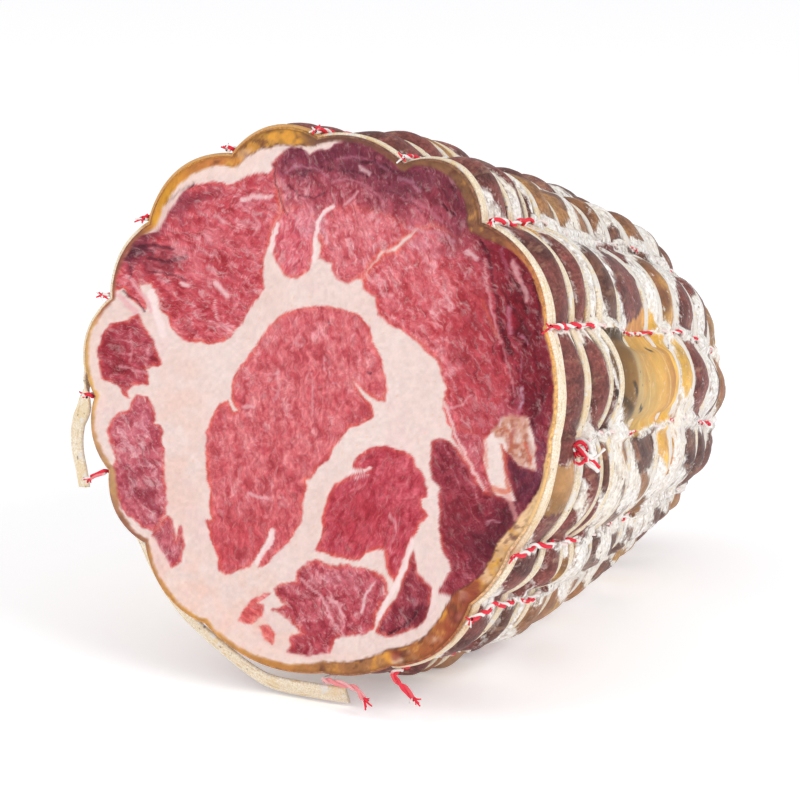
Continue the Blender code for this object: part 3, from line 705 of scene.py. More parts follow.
    def lay_dried_and_pale(self):
        """The dried places, the dried lean along the rim and the pale places."""
        along, patch = self.streaks["along"], self.patch
        for middle, half, turn, tint, share, way in DRY:
            streak = self.streaks[way]
            tinted = mix(tint, (188, 104, 118), 0.40 * ease(0.15, 1.0, streak))
            tinted = mix(tinted, (188, 66, 78), 0.45 * ease(0.1, 0.9, patch))
            tinted = mix(tinted, np.multiply(tint, 0.60), 0.55 * ease(0.1, 0.9, -streak))
            self.lay_dry(tinted, blob(*self.moved(9), middle, half, turn) * share * self.lean, streak)
        for start, end, tint, wide in DRIED_RIM:
            off, span = (self.angle - start) % 360, (end - start) % 360
            amount = ease(0, 14, off) * (1 - ease(span - 14, span, off)) * (off < span)
            amount = amount * (1 - ease(0.15, 1.0, (self.rim + 7 * patch + 4 * self.wy) / wide))
            tinted = mix(tint, np.multiply(tint, 0.66), 0.6 * ease(0.0, 0.9, -along))
            tinted = mix(tinted, (182, 92, 108), 0.35 * ease(0.2, 1.0, along))
            self.lay_dry(tinted, amount * self.lean * 0.72, along, 0.6)
        for middle, half, turn, tint, share in PALE:
            amount = blob(*self.moved(8), middle, half, turn) * share * self.lean
            self.lay(tint, amount * ease(-0.7, 0.7, patch + 0.6 * along))

    def lay_flap(self):
        """The torn flap on the right, and a lump of fat below it."""
        x, y = self.x, self.y
        self.flap = ease(-2.6, 2.6, depth_in(*self.moved(2.5, 1.0), FLAP))
        beige = mix((200, 148, 128), (160, 88, 66), ease(-0.3, 0.7, rough(x, y, 5, 24)))
        beige = mix(beige, (220, 196, 192), ease(0.1, 0.8, rough(x * 1.8, y * 0.5, 6, 25)) * 0.8)
        beige = mix(beige, (176, 132, 152), ease(0.2, 0.9, rough(x * 1.6, y * 0.5, 7, 26)) * 0.6)
        beige = mix(beige, (160, 70, 84), ease(0.3, 0.9, self.streaks["along"]) * 0.6)
        self.lay(beige, self.flap * 0.88)
        lump = ease(-1.5, 1.5, depth_in(*self.moved(1.5, 1.0), FAT_BLOB))
        self.lay(self.fat, lump)
        self.lean = self.lean * (1 - self.flap) * (1 - lump)

    def lay_lines(self):
        """Lines of fat and dark cracks."""
        for route, half, soft, tint, share in FAT_LINES:
            off = -depth_in(*self.moved(1.0, 0.8), route, closed=False)
            amount = (1 - ease(half - 0.3 * soft, half + soft, off + 0.5 * self.grain)) * share
            self.lay(tint, amount)
            self.lean = self.lean * (1 - amount)
        for route, half, share in DARK_LINES:
            off = -depth_in(*self.moved(1.2, 0.8), route, closed=False)
            amount = (1 - ease(half * 0.4, half * 1.6, off)) * share
            self.lay((70, 24, 40), amount * 0.85)
            self.cracks = np.maximum(self.cracks, amount)

    def lay_rim(self):
        """The dry edge round the cut, and the fat under it."""
        x, y = self.x, self.y
        edge_width, fat_width, tint = [rim_value(self.angle, column) for column in (1, 2, 3)]
        inside = self.rim + 0.9 * self.wx + 0.6 * self.fine_x
        under = (1 - ease(-1.2, 1.2, inside - edge_width - fat_width)) * (fat_width > 0.5)
        under = under * ease(0.4, 1.5, fat_width)
        self.lay(mix(self.fat, (236, 206, 194), 0.35), under * 0.92)
        self.crust = 1 - ease(-1.3, 1.3, inside - edge_width)
        crust = tint * (1 + 0.10 * rough(x, y, 10, 27, 3)[..., None])
        golden = 0.6 * ease(0.35, 1.0, rough(x, y, 9, 28)) * ease(160, 200, tint[..., 0])
        crust = mix(crust, (226, 170, 56), golden)
        for blotch, share, size, seed, shows, widths in CRUST:
            amount = share * ease(*shows, rough(x, y, size, seed)) * ease(*widths, edge_width)
            crust = mix(crust, blotch, amount)
        inner = 1 - ease(0.4, 1.3, np.abs(inside - edge_width) / 1.3)
        crust = mix(crust, (74, 38, 32), 0.7 * inner * ease(8, 14, edge_width))
        outer = 1 - ease(0.3, 2.6, inside)
        crust = mix(crust, tint * 0.66, outer * (0.15 + 0.45 * ease(6, 12, edge_width)))
        self.lay(crust, self.crust)
        self.lean = self.lean * (1 - under) * (1 - self.crust)

    def height(self):
        """Relief in millimetres."""
        lean, grain, depth = self.lean, self.grain, self.depth
        height = -0.10 * lean + 0.05 * grain * (0.4 + lean) - 0.5 * self.cracks
        height = height + 0.10 * self.patch * (0.3 + lean) + 0.30 * self.relief
        height = height + 0.15 * self.flap + 0.12 * self.crust
        return height + 0.06 * ease(0.0, 0.6, depth) * (1 - ease(0.6, 3.0, depth))


# The outside
def station(y):
    """Girth, drift and centre height at distances behind the face."""
    last = len(STATIONS) - 1
    index = np.clip(np.searchsorted(STATIONS[:, 0], y, side="right") - 1, 0, last - 1)
    low, high = STATIONS[index], STATIONS[index + 1]
    before, after = STATIONS[np.maximum(index - 1, 0)], STATIONS[np.minimum(index + 2, last)]
    span = high[..., 0] - low[..., 0]
    t = (y - low[..., 0]) / span
    values = []
    for k in (1, 2, 3):
        slope_low = (high[..., k] - before[..., k]) / (high[..., 0] - before[..., 0])
        slope_high = (after[..., k] - low[..., k]) / (after[..., 0] - low[..., 0])
        values.append(
            (2 * t**3 - 3 * t**2 + 1) * low[..., k]
            + (t**3 - 2 * t**2 + t) * span * slope_low
            + (-2 * t**3 + 3 * t**2) * high[..., k]
            + (t**3 - t**2) * span * slope_high
        )
    return values


def lobe_of(column):
    """Lobe number, share of the way across it and angle in radians."""
    lobe = np.floor(column / LOBE_STEPS).astype(int) % LOBES
    share = column / LOBE_STEPS - np.floor(column / LOBE_STEPS)
    start, end = TWINE_ANGLES[lobe], TWINE_ANGLES[(lobe + 1) % LOBES]
    end = np.where(end < start, end + 360.0, end)
    return lobe, share, np.radians(start + share * (end - start))


def outside(column, y, lift=0.0, least_z=0.05):
    """Points over the meat in millimetres, lift above the ring grooves."""
    column, y, lift = np.broadcast_arrays(
        np.asarray(column, float), np.asarray(y, float), np.asarray(lift, float)
    )
    lobe, share, angle = lobe_of(column)
    arch = np.sin(math.pi * share) ** 0.85
    after = (lobe + 1) % LOBES
    valley = (1 - share) * VALLEY_RADII[lobe] + share * VALLEY_RADII[after]
    behind = ease(0, 1, (y - BULGE_START) / BULGE_LENGTH)
    bulge = (1 - behind) * RIM_BULGES[lobe] + behind * FLANK_BULGES[lobe]
    back = (1 - share) * NET_BACK[lobe] + share * NET_BACK[after]
    y = y + (back * ease(0, NET_BACK_LENGTH, y) + SCALLOP * arch * behind) * (1 - ease(*SCALLOP_END, y))
    girth, drift, height = station(y)
    fall = (station(np.maximum(y - 0.5, 0))[0] - station(y + 0.5)[0]) * MEAN_RADIUS
    lean = np.arctan(fall)
    angle = angle + SINK_ANGLE * ease(0, 1, (y - SINK_START) / SINK_LENGTH) * np.sin(angle)
    radius = girth * (valley + bulge * arch) + lift * np.cos(lean)
    y = y + lift * np.sin(lean)
    up = radius * np.cos(angle)
    return np.stack([
        AXIS_X + drift + radius * np.sin(angle),
        FACE_Y + y + up * math.sin(FACE_TILT),
        np.maximum(height + up * math.cos(FACE_TILT), least_z),
    ], axis=-1)


def net_point(x, behind, z):
    """A place given from the middle, the face and the ground."""
    return np.array([AXIS_X + x, FACE_Y + behind, z])


def from_ring(y, place, width):
    """Distance from the edge of a ring, 0 inside it."""
    return np.maximum(np.abs(y - place) - width / 2, 0)


def ring_gaps():
    """Start and end of the gaps between the rings."""
    edges = [(y - width / 2, y + width / 2) for (y, _), width in zip(RINGS, SHOWN_WIDTHS)]
    gaps = [(this[1] + 0.1, after[0] - 0.1) for this, after in zip(edges, edges[1:])]
    return gaps + [(edges[-1][1] + 0.1, LAST_GAP_END)]


def is_shown(column, y):
    """Whether the photo shows a place on the outside well enough to follow it."""
    return (column > SHOWN_COLUMNS[0]) & (column < SHOWN_COLUMNS[1]) & (y < SHOWN_END)


def windows(column, y):
    """For places on the outside: how far inside a window of bare casing in
    millimetres, how far the casing swells there, and the window's number."""
    lobe, share, _ = lobe_of(column)
    inside = np.full(y.shape, -3.0)
    rise, number = np.zeros((2,) + y.shape)
    far, near = ease(15, 130, y), ease(14, 46, y)
    gaps = ring_gaps()
    for k, (start, end) in enumerate(gaps):
        half, middle = (end - start) / 2, (start + end) / 2
        here = (y >= start - 0.2) & (y <= end + 0.2)
        pinch = 1.02 + 0.10 * far + 0.16 * dice(lobe, k, 901) * (0.3 + far)
        place = np.clip(0.5 + (share - 0.5 + 0.04 * (dice(lobe, k, 902) - 0.5)) * pinch, 0, 1)
        bow = np.sin(math.pi * place) ** (0.42 + 0.35 * far)
        trim = -0.9 + 1.1 * near + 0.35 * near * dice(lobe, k, 903)
        trim = trim + (-0.5 + 1.9 * dice(lobe, k, 904)) * far
        shift = (dice(lobe, k, 905) - 0.5) * min(half, 3.0) * 0.5
        t = np.clip((y - start) / (end - start), 0, 1)
        if k < len(gaps) - 1:
            profile = np.sin(math.pi * t) ** 0.6 * min(2 * half / 5.5, 1.0)
        else:
            shift, trim = shift - 5.0, trim + 2.5
            profile = ease(0, 0.14, t) * (1 - ease(0.6, 1.0, t))
        open_mm = (half - np.minimum(trim, half * 0.55)) * bow - np.abs(y - middle - shift)
        swell = PILLOW * profile * (0.15 + 0.85 * np.sin(math.pi * share) ** 0.75)
        inside = np.where(here, open_mm, inside)
        number = np.where(here, dice(lobe, k, 906), number)
        rise = np.where(here, swell, rise)
    across = column * COLUMN_MM
    ragged = 2.3 * rough(across, y, 13, 76) + 1.3 * rough(across, y, 5, 77) - 0.1
    return np.where(is_shown(column, y), inside, inside + ragged * near), rise, number


# Materials
class Paint:
    """A material with a Principled shader, and short ways to add nodes."""

    def __init__(self, name, roughness):
        self.material = bpy.data.materials.new(name)
        self.material.use_nodes = True
        self.nodes = self.material.node_tree.nodes
        self.links = self.material.node_tree.links
        self.shader = self.nodes["Principled BSDF"]
        self.shader.inputs["Roughness"].default_value = roughness
        self.coordinates = self.nodes.new("ShaderNodeTexCoord").outputs["Object"]

    def feed(self, socket, value):
        """A link into a socket, or the number, vector or colour it holds."""
        if isinstance(value, bpy.types.NodeSocket):
            self.links.new(value, socket)
        elif isinstance(value, tuple) and socket.type == "RGBA":
            socket.default_value = (*value, 1.0)
        else:
            socket.default_value = value

    def node(self, kind, output, inputs, **settings):
        """An output of a new node with these settings and inputs."""
        node = self.nodes.new("ShaderNode" + kind)
        for name, value in settings.items():
            setattr(node, name, value)
        for name, value in inputs.items():
            self.feed(node.inputs[name], value)
        return node.outputs[output]

    def attribute(self, name, output="Fac"):
        return self.node("Attribute", output, {}, attribute_name=name)

    def noise(self, scale, detail=3.0, rough=0.6, vector=None, distortion=0.0):
        inputs = {"Scale": scale, "Detail": detail, "Roughness": rough, "Distortion": distortion}
        return self.node("TexNoise", "Fac", {**inputs, "Vector": vector or self.coordinates})

    def scaled(self, vector, scale):
        return self.node("VectorMath", "Vector", {0: vector, 1: scale}, operation="MULTIPLY")

    def spots(self, scale):
        return self.node("TexVoronoi", "Distance", {"Scale": scale, "Vector": self.coordinates})

    def math(self, operation, a, b, clamp=False):
        return self.node("Math", "Value", {0: a, 1: b}, operation=operation, use_clamp=clamp)

    def times(self, a, b, clamp=False):
        return self.math("MULTIPLY", a, b, clamp)

    def plus(self, a, b):
        return self.math("ADD", a, b)

    def less(self, a, b, clamp=False):
        return self.math("SUBTRACT", a, b, clamp)

    def between(self, value, low, high, to_low=0.0, to_high=1.0):
        """Ease from to_low where a value is low to to_high where it is high."""
        inputs = {"Value": value, "From Min": low, "From Max": high, "To Min": to_low, "To Max": to_high}
        return self.node("MapRange", "Result", inputs, interpolation_type="SMOOTHSTEP")

    def mix(self, share, a, b, way="MIX"):
        return self.node("Mix", 2, {0: share, 6: a, 7: b}, data_type="RGBA", blend_type=way)

    def layers(self, base, *layers):
        """Colours as they show on a screen over a base, each by its share."""
        for share, tint in layers:
            base = self.mix(share, base, on_screen(*tint))
        return base

    def bump(self, height, strength, distance):
        inputs = {"Strength": strength, "Distance": distance, "Height": height}
        self.set(Normal=self.node("Bump", "Normal", inputs))

    def set(self, **values):
        for name, value in values.items():
            self.feed(self.shader.inputs[name.replace("_", " ")], value)


def linear(value):
    """Light for a colour as it shows on a screen, both from 0 to 1."""
    return np.where(value <= 0.04045, value / 12.92, ((value + 0.055) / 1.055) ** 2.4)


def on_screen(r, g, b):
    """A colour given as it shows on a screen, from 0 to 255."""
    return tuple(linear(np.array([r, g, b], float) / 255).tolist())


# Meshes
def add_item(name, data):
    """An object in the scene."""
    item = bpy.data.objects.new(name, data)
    bpy.context.scene.collection.objects.link(item)
    return item


def add_mesh(name, points, faces, material):
    """A smooth mesh from points in millimetres and groups of faces."""
    mesh = bpy.data.meshes.new(name)
    mesh.vertices.add(len(points))
    mesh.vertices.foreach_set("co", np.ascontiguousarray(points * MM, dtype=np.float32).ravel())
    counts = np.concatenate([np.full(len(group), group.shape[1]) for group in faces])
    corners = np.concatenate([group.ravel() for group in faces])
    mesh.loops.add(len(corners))
    mesh.loops.foreach_set("vertex_index", corners.astype(np.int32))
    mesh.polygons.add(len(counts))
    mesh.polygons.foreach_set("loop_start", (np.cumsum(counts) - counts).astype(np.int32))
    mesh.update(calc_edges=True)
    mesh.validate()
    mesh.shade_smooth()
    mesh.materials.append(material)
    return add_item(name, mesh)


def add_values(item, name, values, kind="FLOAT"):
    """Values at the points of a mesh, for its material."""
    layer = item.data.attributes.new(name, kind, "POINT")
    if kind == "FLOAT_COLOR":
        values = np.concatenate([values, np.ones((len(values), 1))], axis=1)
    field = {"FLOAT": "value", "FLOAT_COLOR": "color", "FLOAT_VECTOR": "vector"}[kind]
    layer.data.foreach_set(field, np.asarray(values, np.float32).ravel())


def strips(rows, around, closed=True, first=0):
    """Faces of a sheet of rows of points, closed round or open."""
    i = np.arange(rows - 1)[:, None]
    j = np.arange(around if closed else around - 1)[None, :]
    k = (j + 1) % around
    a, b = i * around + j, i * around + k
    return np.stack([a, b, b + around, a + around], axis=-1).reshape(-1, 4) + first


# The cut
def disc_places(count):
    """A square grid pressed into a disc: share of the turn, share of the radius
    and faces."""
    line = np.linspace(-1, 1, count + 1)
    a, b = np.meshgrid(line, line)
    a, b = a.ravel(), b.ravel()
    wide = np.abs(a) >= np.abs(b)
    radius = np.where(wide, np.abs(a), np.abs(b))
    beside = math.pi / 4 * b / np.where(a == 0, 1, a)
    above = math.pi / 2 - math.pi / 4 * a / np.where(b == 0, 1, b)
    turn = np.where(wide, beside, above)
    turn = np.where(np.where(wide, a, b) < 0, turn + math.pi, turn)
    return turn % math.tau / math.tau, radius, strips(count + 1, count + 1, closed=False)


def cut_paint():
    """Meat and fat, with finer fibres and veins than the mesh can carry."""
    paint = Paint("cut_meat", 0.45)
    grain = paint.noise(2600.0, 2.0, 0.6)
    along = paint.attribute("fibre", "Vector")
    veined = paint.attribute("veined")
    threads = paint.noise(0.30, 4.0, 0.70, along)
    veins = paint.noise(0.17, 4.0, 0.75, along, 0.15)
    flecks = paint.noise(1100.0, 2.0, 0.6)
    shade = paint.mix(paint.between(threads, 0.30, 0.70), (0.74, 0.58, 0.62), (1.24, 1.34, 1.34))
    tone = paint.attribute("tint", "Color")
    tone = paint.mix(paint.times(paint.attribute("lean"), 0.85), tone, shade, "MULTIPLY")
    pale = paint.times(paint.between(veins, 0.50, 0.72), veined)
    tone = paint.layers(
        tone,
        (paint.times(pale, 0.95, clamp=True), (236, 202, 202)),
        (paint.times(paint.between(flecks, 0.56, 0.74, 0.0, 0.45), veined), (236, 206, 204)),
    )
    soft = paint.between(grain, 0.3, 0.7, 0.0, 0.22)
    tone = paint.mix(soft, tone, on_screen(236, 214, 208), "SOFT_LIGHT")
    paint.set(Base_Color=tone, Roughness=paint.attribute("matt"), Specular_IOR_Level=0.16)
    paint.set(Subsurface_Weight=0.12, Subsurface_Radius=(1.0, 0.35, 0.2), Subsurface_Scale=0.0012)
    paint.bump(paint.noise(1500.0, 3.0, 0.6), 0.15, 0.0002)
    return paint.material


def build_face():
    """The cut face: meat, fat and rind in fine relief."""
    turn, radius, faces = disc_places(304)
    rim = outside(turn * COLUMNS, 0.0)
    centre = outside(np.arange(COLUMNS), 0.0).mean(axis=0)
    points = centre + (rim - centre) * radius[:, None]
    x, y = in_picture(points)
    rim_x, rim_y = in_picture(outside(np.arange(0, COLUMNS, 0.25), 0.0))
    edge = depth_in(x, y, list(zip(rim_x, rim_y)))
    edge = np.where(radius > 0.9999, 0.0, np.maximum(edge, 0.0))
    cut = CutPaint(x, y, edge)
    dish = 0.15 * ease(0, 4, edge) + 0.45 * ease(0, 40, edge)
    relief = cut.height() * ease(0, 1.5, edge)
    item = add_mesh("coppa_cut", points + INWARD * (dish - relief)[:, None], [faces], cut_paint())
    lean, dried = np.clip(cut.lean, 0, 1), np.clip(cut.dried, 0, 1)
    add_values(item, "tint", linear(cut.colour / 255), "FLOAT_COLOR")
    add_values(item, "lean", lean)
    add_values(item, "veined", cut.veined * lean * (1 - 0.55 * dried))
    add_values(item, "fibre", cut.fibre, "FLOAT_VECTOR")
    matt = 0.50 - 0.08 * cut.lean - 0.06 * cut.dried + 0.12 * cut.crust
    add_values(item, "matt", np.clip(matt, 0.3, 0.8))
    return item


# The flank
# Colours of the casing where no bloom covers it.
SKIN = {
    "plum": (122, 66, 60),
    "dark": (102, 66, 54),
    "brown": (142, 96, 64),
    "tan": (168, 126, 84),
    "gold": (204, 158, 84),
    "amber": (198, 134, 66),
    "grey": (142, 118, 106),
}
# Bare places on the side that the photo shows: kind, and corners as columns
# round the coppa and millimetres behind the face. Elsewhere the bare places are
# drawn by chance between rings and twines.
BARE = [
    ("plum", [
        (4.1, 3), (5, 2.5), (5.8, 3.5), (6.8, 4.5), (7.9, 8), (7.8, 12), (7, 12), (6, 10.5), (5, 11),
        (4.2, 12),
    ]),
    ("plum", [
        (4.2, 14), (5, 13), (6, 13.5), (7, 15.5), (7.7, 18), (7.9, 20.5), (7.4, 20.5), (6.5, 19.5),
        (5.8, 18.2), (4.3, 19),
    ]),
    ("brown", [
        (4.4, 23), (5.3, 24), (6.4, 25), (7.4, 27), (7.6, 33), (7.5, 40), (7.1, 46), (6.2, 47), (5.2, 49),
        (4.3, 51),
    ]),
    ("brown", [(4.6, 56), (5.8, 53), (6.8, 51.5), (7.6, 52), (7.5, 60), (6.8, 66), (6, 65), (5, 64)]),
    ("dark", [(6.9, 68), (7.8, 70), (7.7, 79), (7.2, 78)]),
    ("brown", [(4.8, 84), (6, 85), (7.2, 86), (6.9, 95), (5.8, 96), (4.6, 98)]),
    ("amber", [(8.12, 8), (8.2, 14), (8.8, 13), (8.7, 7)]),
    ("plum", [
        (8.5, 6), (9, 4.4), (10, 2.8), (11, 1.6), (11.9, 1.8), (11.9, 9), (11.2, 10), (10, 10.3), (9, 9.9),
        (8.6, 9),
    ]),
    ("plum", [
        (8.8, 13.5), (9.1, 16.5), (10, 17.8), (11, 18), (11.9, 17.5), (11.9, 13.6), (11, 13), (10, 13),
    ]),
    ("tan", [(11.1, 16), (11.9, 16.2), (11.8, 17.8), (11.2, 17.8)]),
    ("dark", [
        (9.9, 24), (9.4, 27), (8.8, 34), (8.5, 43), (9.1, 41), (9.9, 37), (11, 36.5), (11.9, 37.5),
        (11.9, 30), (11, 26.5), (10.4, 23.5),
    ]),
    ("plum", [
        (8.1, 60), (8.6, 50), (9.3, 45), (10.3, 40.8), (11.2, 42), (11.7, 47), (11.3, 54), (11, 59),
        (10.2, 57.5), (9.4, 60), (8.15, 69),
    ]),
    ("amber", [(11.35, 51), (10.9, 57), (11.2, 61), (11.9, 66), (11.95, 44), (11.65, 46)]),
    ("brown", [
        (9.2, 67), (10.3, 67.5), (11, 71), (11.5, 75.5), (11.9, 79.5), (11.1, 79.5), (10.4, 80), (9.5, 82),
        (8.9, 82), (8.8, 74),
    ]),
    ("dark", [(8.05, 72), (8.05, 92), (8.5, 88), (8.4, 78)]),
    ("plum", [
        (8.9, 105), (9.4, 93), (10.2, 88), (11, 87), (11.9, 87), (11.9, 94), (11, 96), (10.3, 97.5),
        (9.8, 104),
    ]),
    ("plum", [
        (12.3, 2), (13.3, 1.2), (14, 2.5), (15, 3.5), (16.5, 3), (16.9, 5), (16.8, 9), (16, 10), (15, 9.7),
        (14, 9), (13, 8.9), (12.4, 8.8),
    ]),
    ("plum", [
        (12.6, 12.5), (13.5, 11.6), (14.5, 12.8), (15.9, 15), (16, 20), (15, 18), (14, 16.2), (13, 16.4),
        (12.6, 15.8),
    ]),
    ("dark", [
        (12.7, 17.2), (13.5, 17.2), (14.5, 18.4), (15.9, 21), (16, 23.2), (15, 21.2), (14, 19),
        (13.2, 18.9), (12.7, 18.5),
    ]),
    ("gold", [
        (12.3, 26), (12.1, 34), (12.05, 45), (12.05, 61), (13, 61), (14, 60), (15, 62), (15.9, 64),
        (15.95, 50), (15.9, 38), (15.6, 31), (15.0, 27), (14.3, 22.5), (13.5, 20.6), (12.9, 22.5),
    ]),
    ("amber", [
        (12.05, 60), (12.1, 68), (13, 69), (14, 68.5), (15, 70), (15.95, 74), (15.95, 62), (15, 60),
        (14, 58.5), (13, 59),
    ]),
    ("tan", [(12.6, 75), (13.3, 72.7), (14.3, 74), (15, 76.5), (14.4, 77.5), (13.4, 78.5), (12.5, 78.5)]),
    ("plum", [
        (12.4, 85.5), (13.5, 85.3), (14.6, 86.3), (15.9, 92), (16, 101), (15, 98.5), (14, 96.5),
        (13, 95.5), (12.4, 94),
    ]),
    ("tan", [(16.9, 4), (17.1, 9.3), (18, 10.8), (18.7, 10.5), (18.6, 6), (17.6, 4)]),
    ("plum", [(18.5, 6), (18.6, 12), (19.2, 14.5), (19.9, 17), (19.9, 9), (19.2, 6)]),
    ("plum", [
        (16.95, 12.5), (17.6, 14.2), (18.6, 16), (19.5, 20), (19.95, 27), (19.9, 29), (19.3, 24),
        (18.8, 21), (18, 18.5), (17.1, 17),
    ]),
    ("dark", [
        (16.4, 19.5), (16.9, 18.5), (17.7, 20), (17.9, 22), (17.5, 25), (17, 25.7), (16.6, 24),
        (16.4, 21.5),
    ]),
    ("brown", [(16.1, 35), (16.05, 38.5), (16.5, 37), (17, 32), (16.6, 31.5)]),
    ("grey", [
        (17.8, 31), (18, 35), (18.6, 38.5), (19.2, 43), (19.9, 51), (19.9, 46), (19.1, 38), (18.4, 33.5),
    ]),
    ("dark", [
        (16.1, 46), (16.05, 58), (16.5, 58.5), (17.2, 57), (17.3, 52), (17.4, 44), (16.9, 43),
        (16.4, 43.5),
    ]),
    ("brown", [
        (17.4, 45), (17.7, 51), (18.3, 56), (19, 62), (19.9, 71), (19.9, 66), (19, 56), (18.6, 50),
        (18, 47),
    ]),
    ("amber", [
        (16.1, 62.5), (16.1, 71), (16.8, 72.5), (17.8, 73), (18.5, 72), (18.2, 68), (17.5, 64.5),
        (16.9, 62.5),
    ]),
    ("dark", [
        (16.6, 88), (17.3, 87.5), (18, 88), (18.8, 96), (19.3, 104), (19.4, 112), (17, 112), (16.5, 105),
    ]),
    ("plum", [
        (20.7, 6), (20.8, 11), (21.8, 11), (22.8, 12.5), (23.9, 15.5), (23.9, 9), (23, 7.5), (22, 6),
        (21.3, 5.5),
    ]),
    ("plum", [
        (20.7, 15), (20.7, 19), (22, 18.2), (23, 20.5), (23.8, 27), (23.9, 24), (23.3, 17.8), (22.4, 14.6),
        (21.4, 14.2),
    ]),
    ("brown", [
        (20.7, 24.5), (20.7, 26.5), (21.5, 25.5), (22.3, 24.3), (22.6, 22.5), (22, 21), (21.3, 21.5),
    ]),
    ("dark", [(20.3, 40), (20.3, 43.5), (20.9, 42.3), (21.4, 40.8), (21.2, 38.3), (20.7, 38.3)]),
    ("grey", [
        (21.3, 35), (21.5, 39.5), (22.5, 47), (23.4, 57), (23.9, 61), (23.6, 52), (22.6, 41), (21.9, 34),
    ]),
    ("dark", [
        (20.9, 52.5), (21.2, 56), (22, 60.5), (22.8, 68.5), (23.6, 78), (24.3, 80), (24, 71), (23.3, 65),
        (22.3, 57), (21.6, 52),
    ]),
    ("grey", [(21.2, 65), (21.5, 68), (22.5, 71), (23.3, 78), (23.9, 88), (23.7, 79), (22.7, 68)]),
    ("dark", [(20.8, 89), (21, 94), (21.8, 102), (22.3, 108), (22.9, 108), (22.4, 98), (21.5, 89)]),
    ("plum", [
        (24.5, 5), (25.2, 9), (26, 11), (26.8, 15), (27.6, 21), (27.9, 24), (27.9, 14), (27, 8.5), (26, 5),
        (25.2, 4),
    ]),
    ("dark", [(24.75, 15), (24.65, 18.5), (25.3, 17), (26, 16.7), (26.2, 15), (25.4, 14.4)]),
    ("brown", [
        (25.2, 23.5), (24.6, 37), (24.5, 41), (25, 43), (26, 51), (26.9, 56), (27.3, 62), (27.2, 57),
        (26.9, 45), (26.2, 37), (25.8, 29),
    ]),
    ("brown", [(24.8, 53), (25.3, 60), (26.2, 69), (27, 79), (26.9, 72), (26, 62), (25.4, 53)]),
    ("dark", [(24.7, 70), (25, 77), (25.5, 84), (26.2, 93), (26.6, 92), (26.2, 83), (25.3, 71)]),
    ("brown", [(24.5, 84), (25, 93), (26, 105), (26.3, 104), (25.2, 91)]),
]
# The one swollen cell of soft fat, with no ring showing in it: its columns and
# distances behind the face, its shades with the distance, and marks on it:
# route, half width, share.
CELL_COLUMNS = (12.0, 16.0)
CELL_BEHIND = (22.0, 72.0)
CELL_TINGE = (1.0, 0.93, 0.84)
CELL_SHADES = [
    (18, (104, 80, 56)), (27, (126, 100, 64)), (33, (176, 140, 80)), (36, (198, 162, 88)),
    (42, (206, 166, 82)), (50, (222, 184, 92)), (55, (208, 160, 78)), (62, (180, 126, 66)),
]
MARKS = [
    ([(12.7, 50.5), (12.8, 52.5)], 0.5, 0.9),
    ([(14.95, 35.5), (15.05, 37.5)], 0.45, 0.9),
    ([(14.5, 21.5), (14.8, 23), (15.15, 25.5)], 0.55, 1.0),
    ([(14.7, 26.5), (15.1, 30), (15.5, 35)], 0.7, 0.5),
    ([(12.3, 27), (12.35, 33), (12.5, 38)], 1.2, 0.55),
    ([(14.1, 29), (14.5, 30.5)], 0.5, 0.7),
]
BRIGHT_LINES = [
    ([(12.1, 57), (13.2, 56.3), (14.2, 57.5), (15.2, 59.5), (15.9, 62)], 0.35, 0.6),
    ([(12.2, 41), (13.4, 39.5), (14.6, 41.5), (15.9, 46)], 0.3, 0.35),
]
# Patches of fat on the far sides: angle from the top, distance behind the
# face, half sizes in degrees and millimetres.
FAT_PATCHES = [((250, 60), (22, 26)), ((200, 110), (16, 18)), ((305, 78), (14, 12)), ((330, 30), (12, 10))]
# Rows of the mesh at the rim: distance behind the face and lift. The ring at
# which the front part ends and the back part starts.
RIM_ROWS = (0.0, 0.0, 0.22, 0.5)
RIM_LIFTS = (-1.2, 0.0, 0.42, 0.50)
SEAM_RING = 6
# Where each twine shows red between the bloom: stretches behind the face.
SHOWN_TWINES = {
    1: [(-3, 8), (84, 90)],
    2: [(-3, 19.5), (80, 87)],
    3: [(-3, 21), (38, 64), (76, 86), (93, 98)],
    4: [(8, 13), (38, 46), (69, 77), (102, 112)],
    5: [(-3, 15.5), (20, 24.5), (43, 52), (57, 66)],
    6: [(-3, 14), (17.5, 24), (43, 49), (57, 62)],
}
# How the plies of a hanging end have rubbed off on each other: the shade they
# share, from red 0 to white 1, and by how much.
HANGING_TINGE = {7: (0.02, 1.0), 8: (0.36, 0.9), 11: (0.0, 0.8)}
# How far a twine lies beside its valley at the rim, in columns, and how far
# behind the face it reaches the valley.
TWINE_ASIDE = {2: (0.30, 20.0), 4: (0.65, 19.0), 5: (0.10, 30.0), 6: (0.25, 34.0)}


def shown_twine(index, y):
    """1 where a twine shows and 0 where bloom covers it."""
    by_chance = ease(-0.1, 0.25, ripple(y, 9.0, 740 + index))
    if index not in SHOWN_TWINES:
        return 1 - by_chance * ease(12, 26, y)
    shown = np.zeros(y.shape)
    for start, end in SHOWN_TWINES[index]:
        shown = np.maximum(shown, ease(start - 1, start + 1, y) * (1 - ease(end - 1, end + 1, y)))
    return np.where(y > SHOWN_END, 1 - by_chance, shown)


def patch_share(angle, y):
    """1 in the patches of fat on the far sides and 0 outside them."""
    total = np.zeros(angle.shape)
    for (turn, behind), (wide, long) in FAT_PATCHES:
        off = (angle - turn + 180) % 360 - 180
        total = np.maximum(total, 1 - ease(0.6, 1.25, np.hypot(off / wide, (y - behind) / long)))
    return total


def in_columns(route):
    """A route or outline given in columns, in millimetres round and behind."""
    return [(column * COLUMN_MM, behind) for column, behind in route]


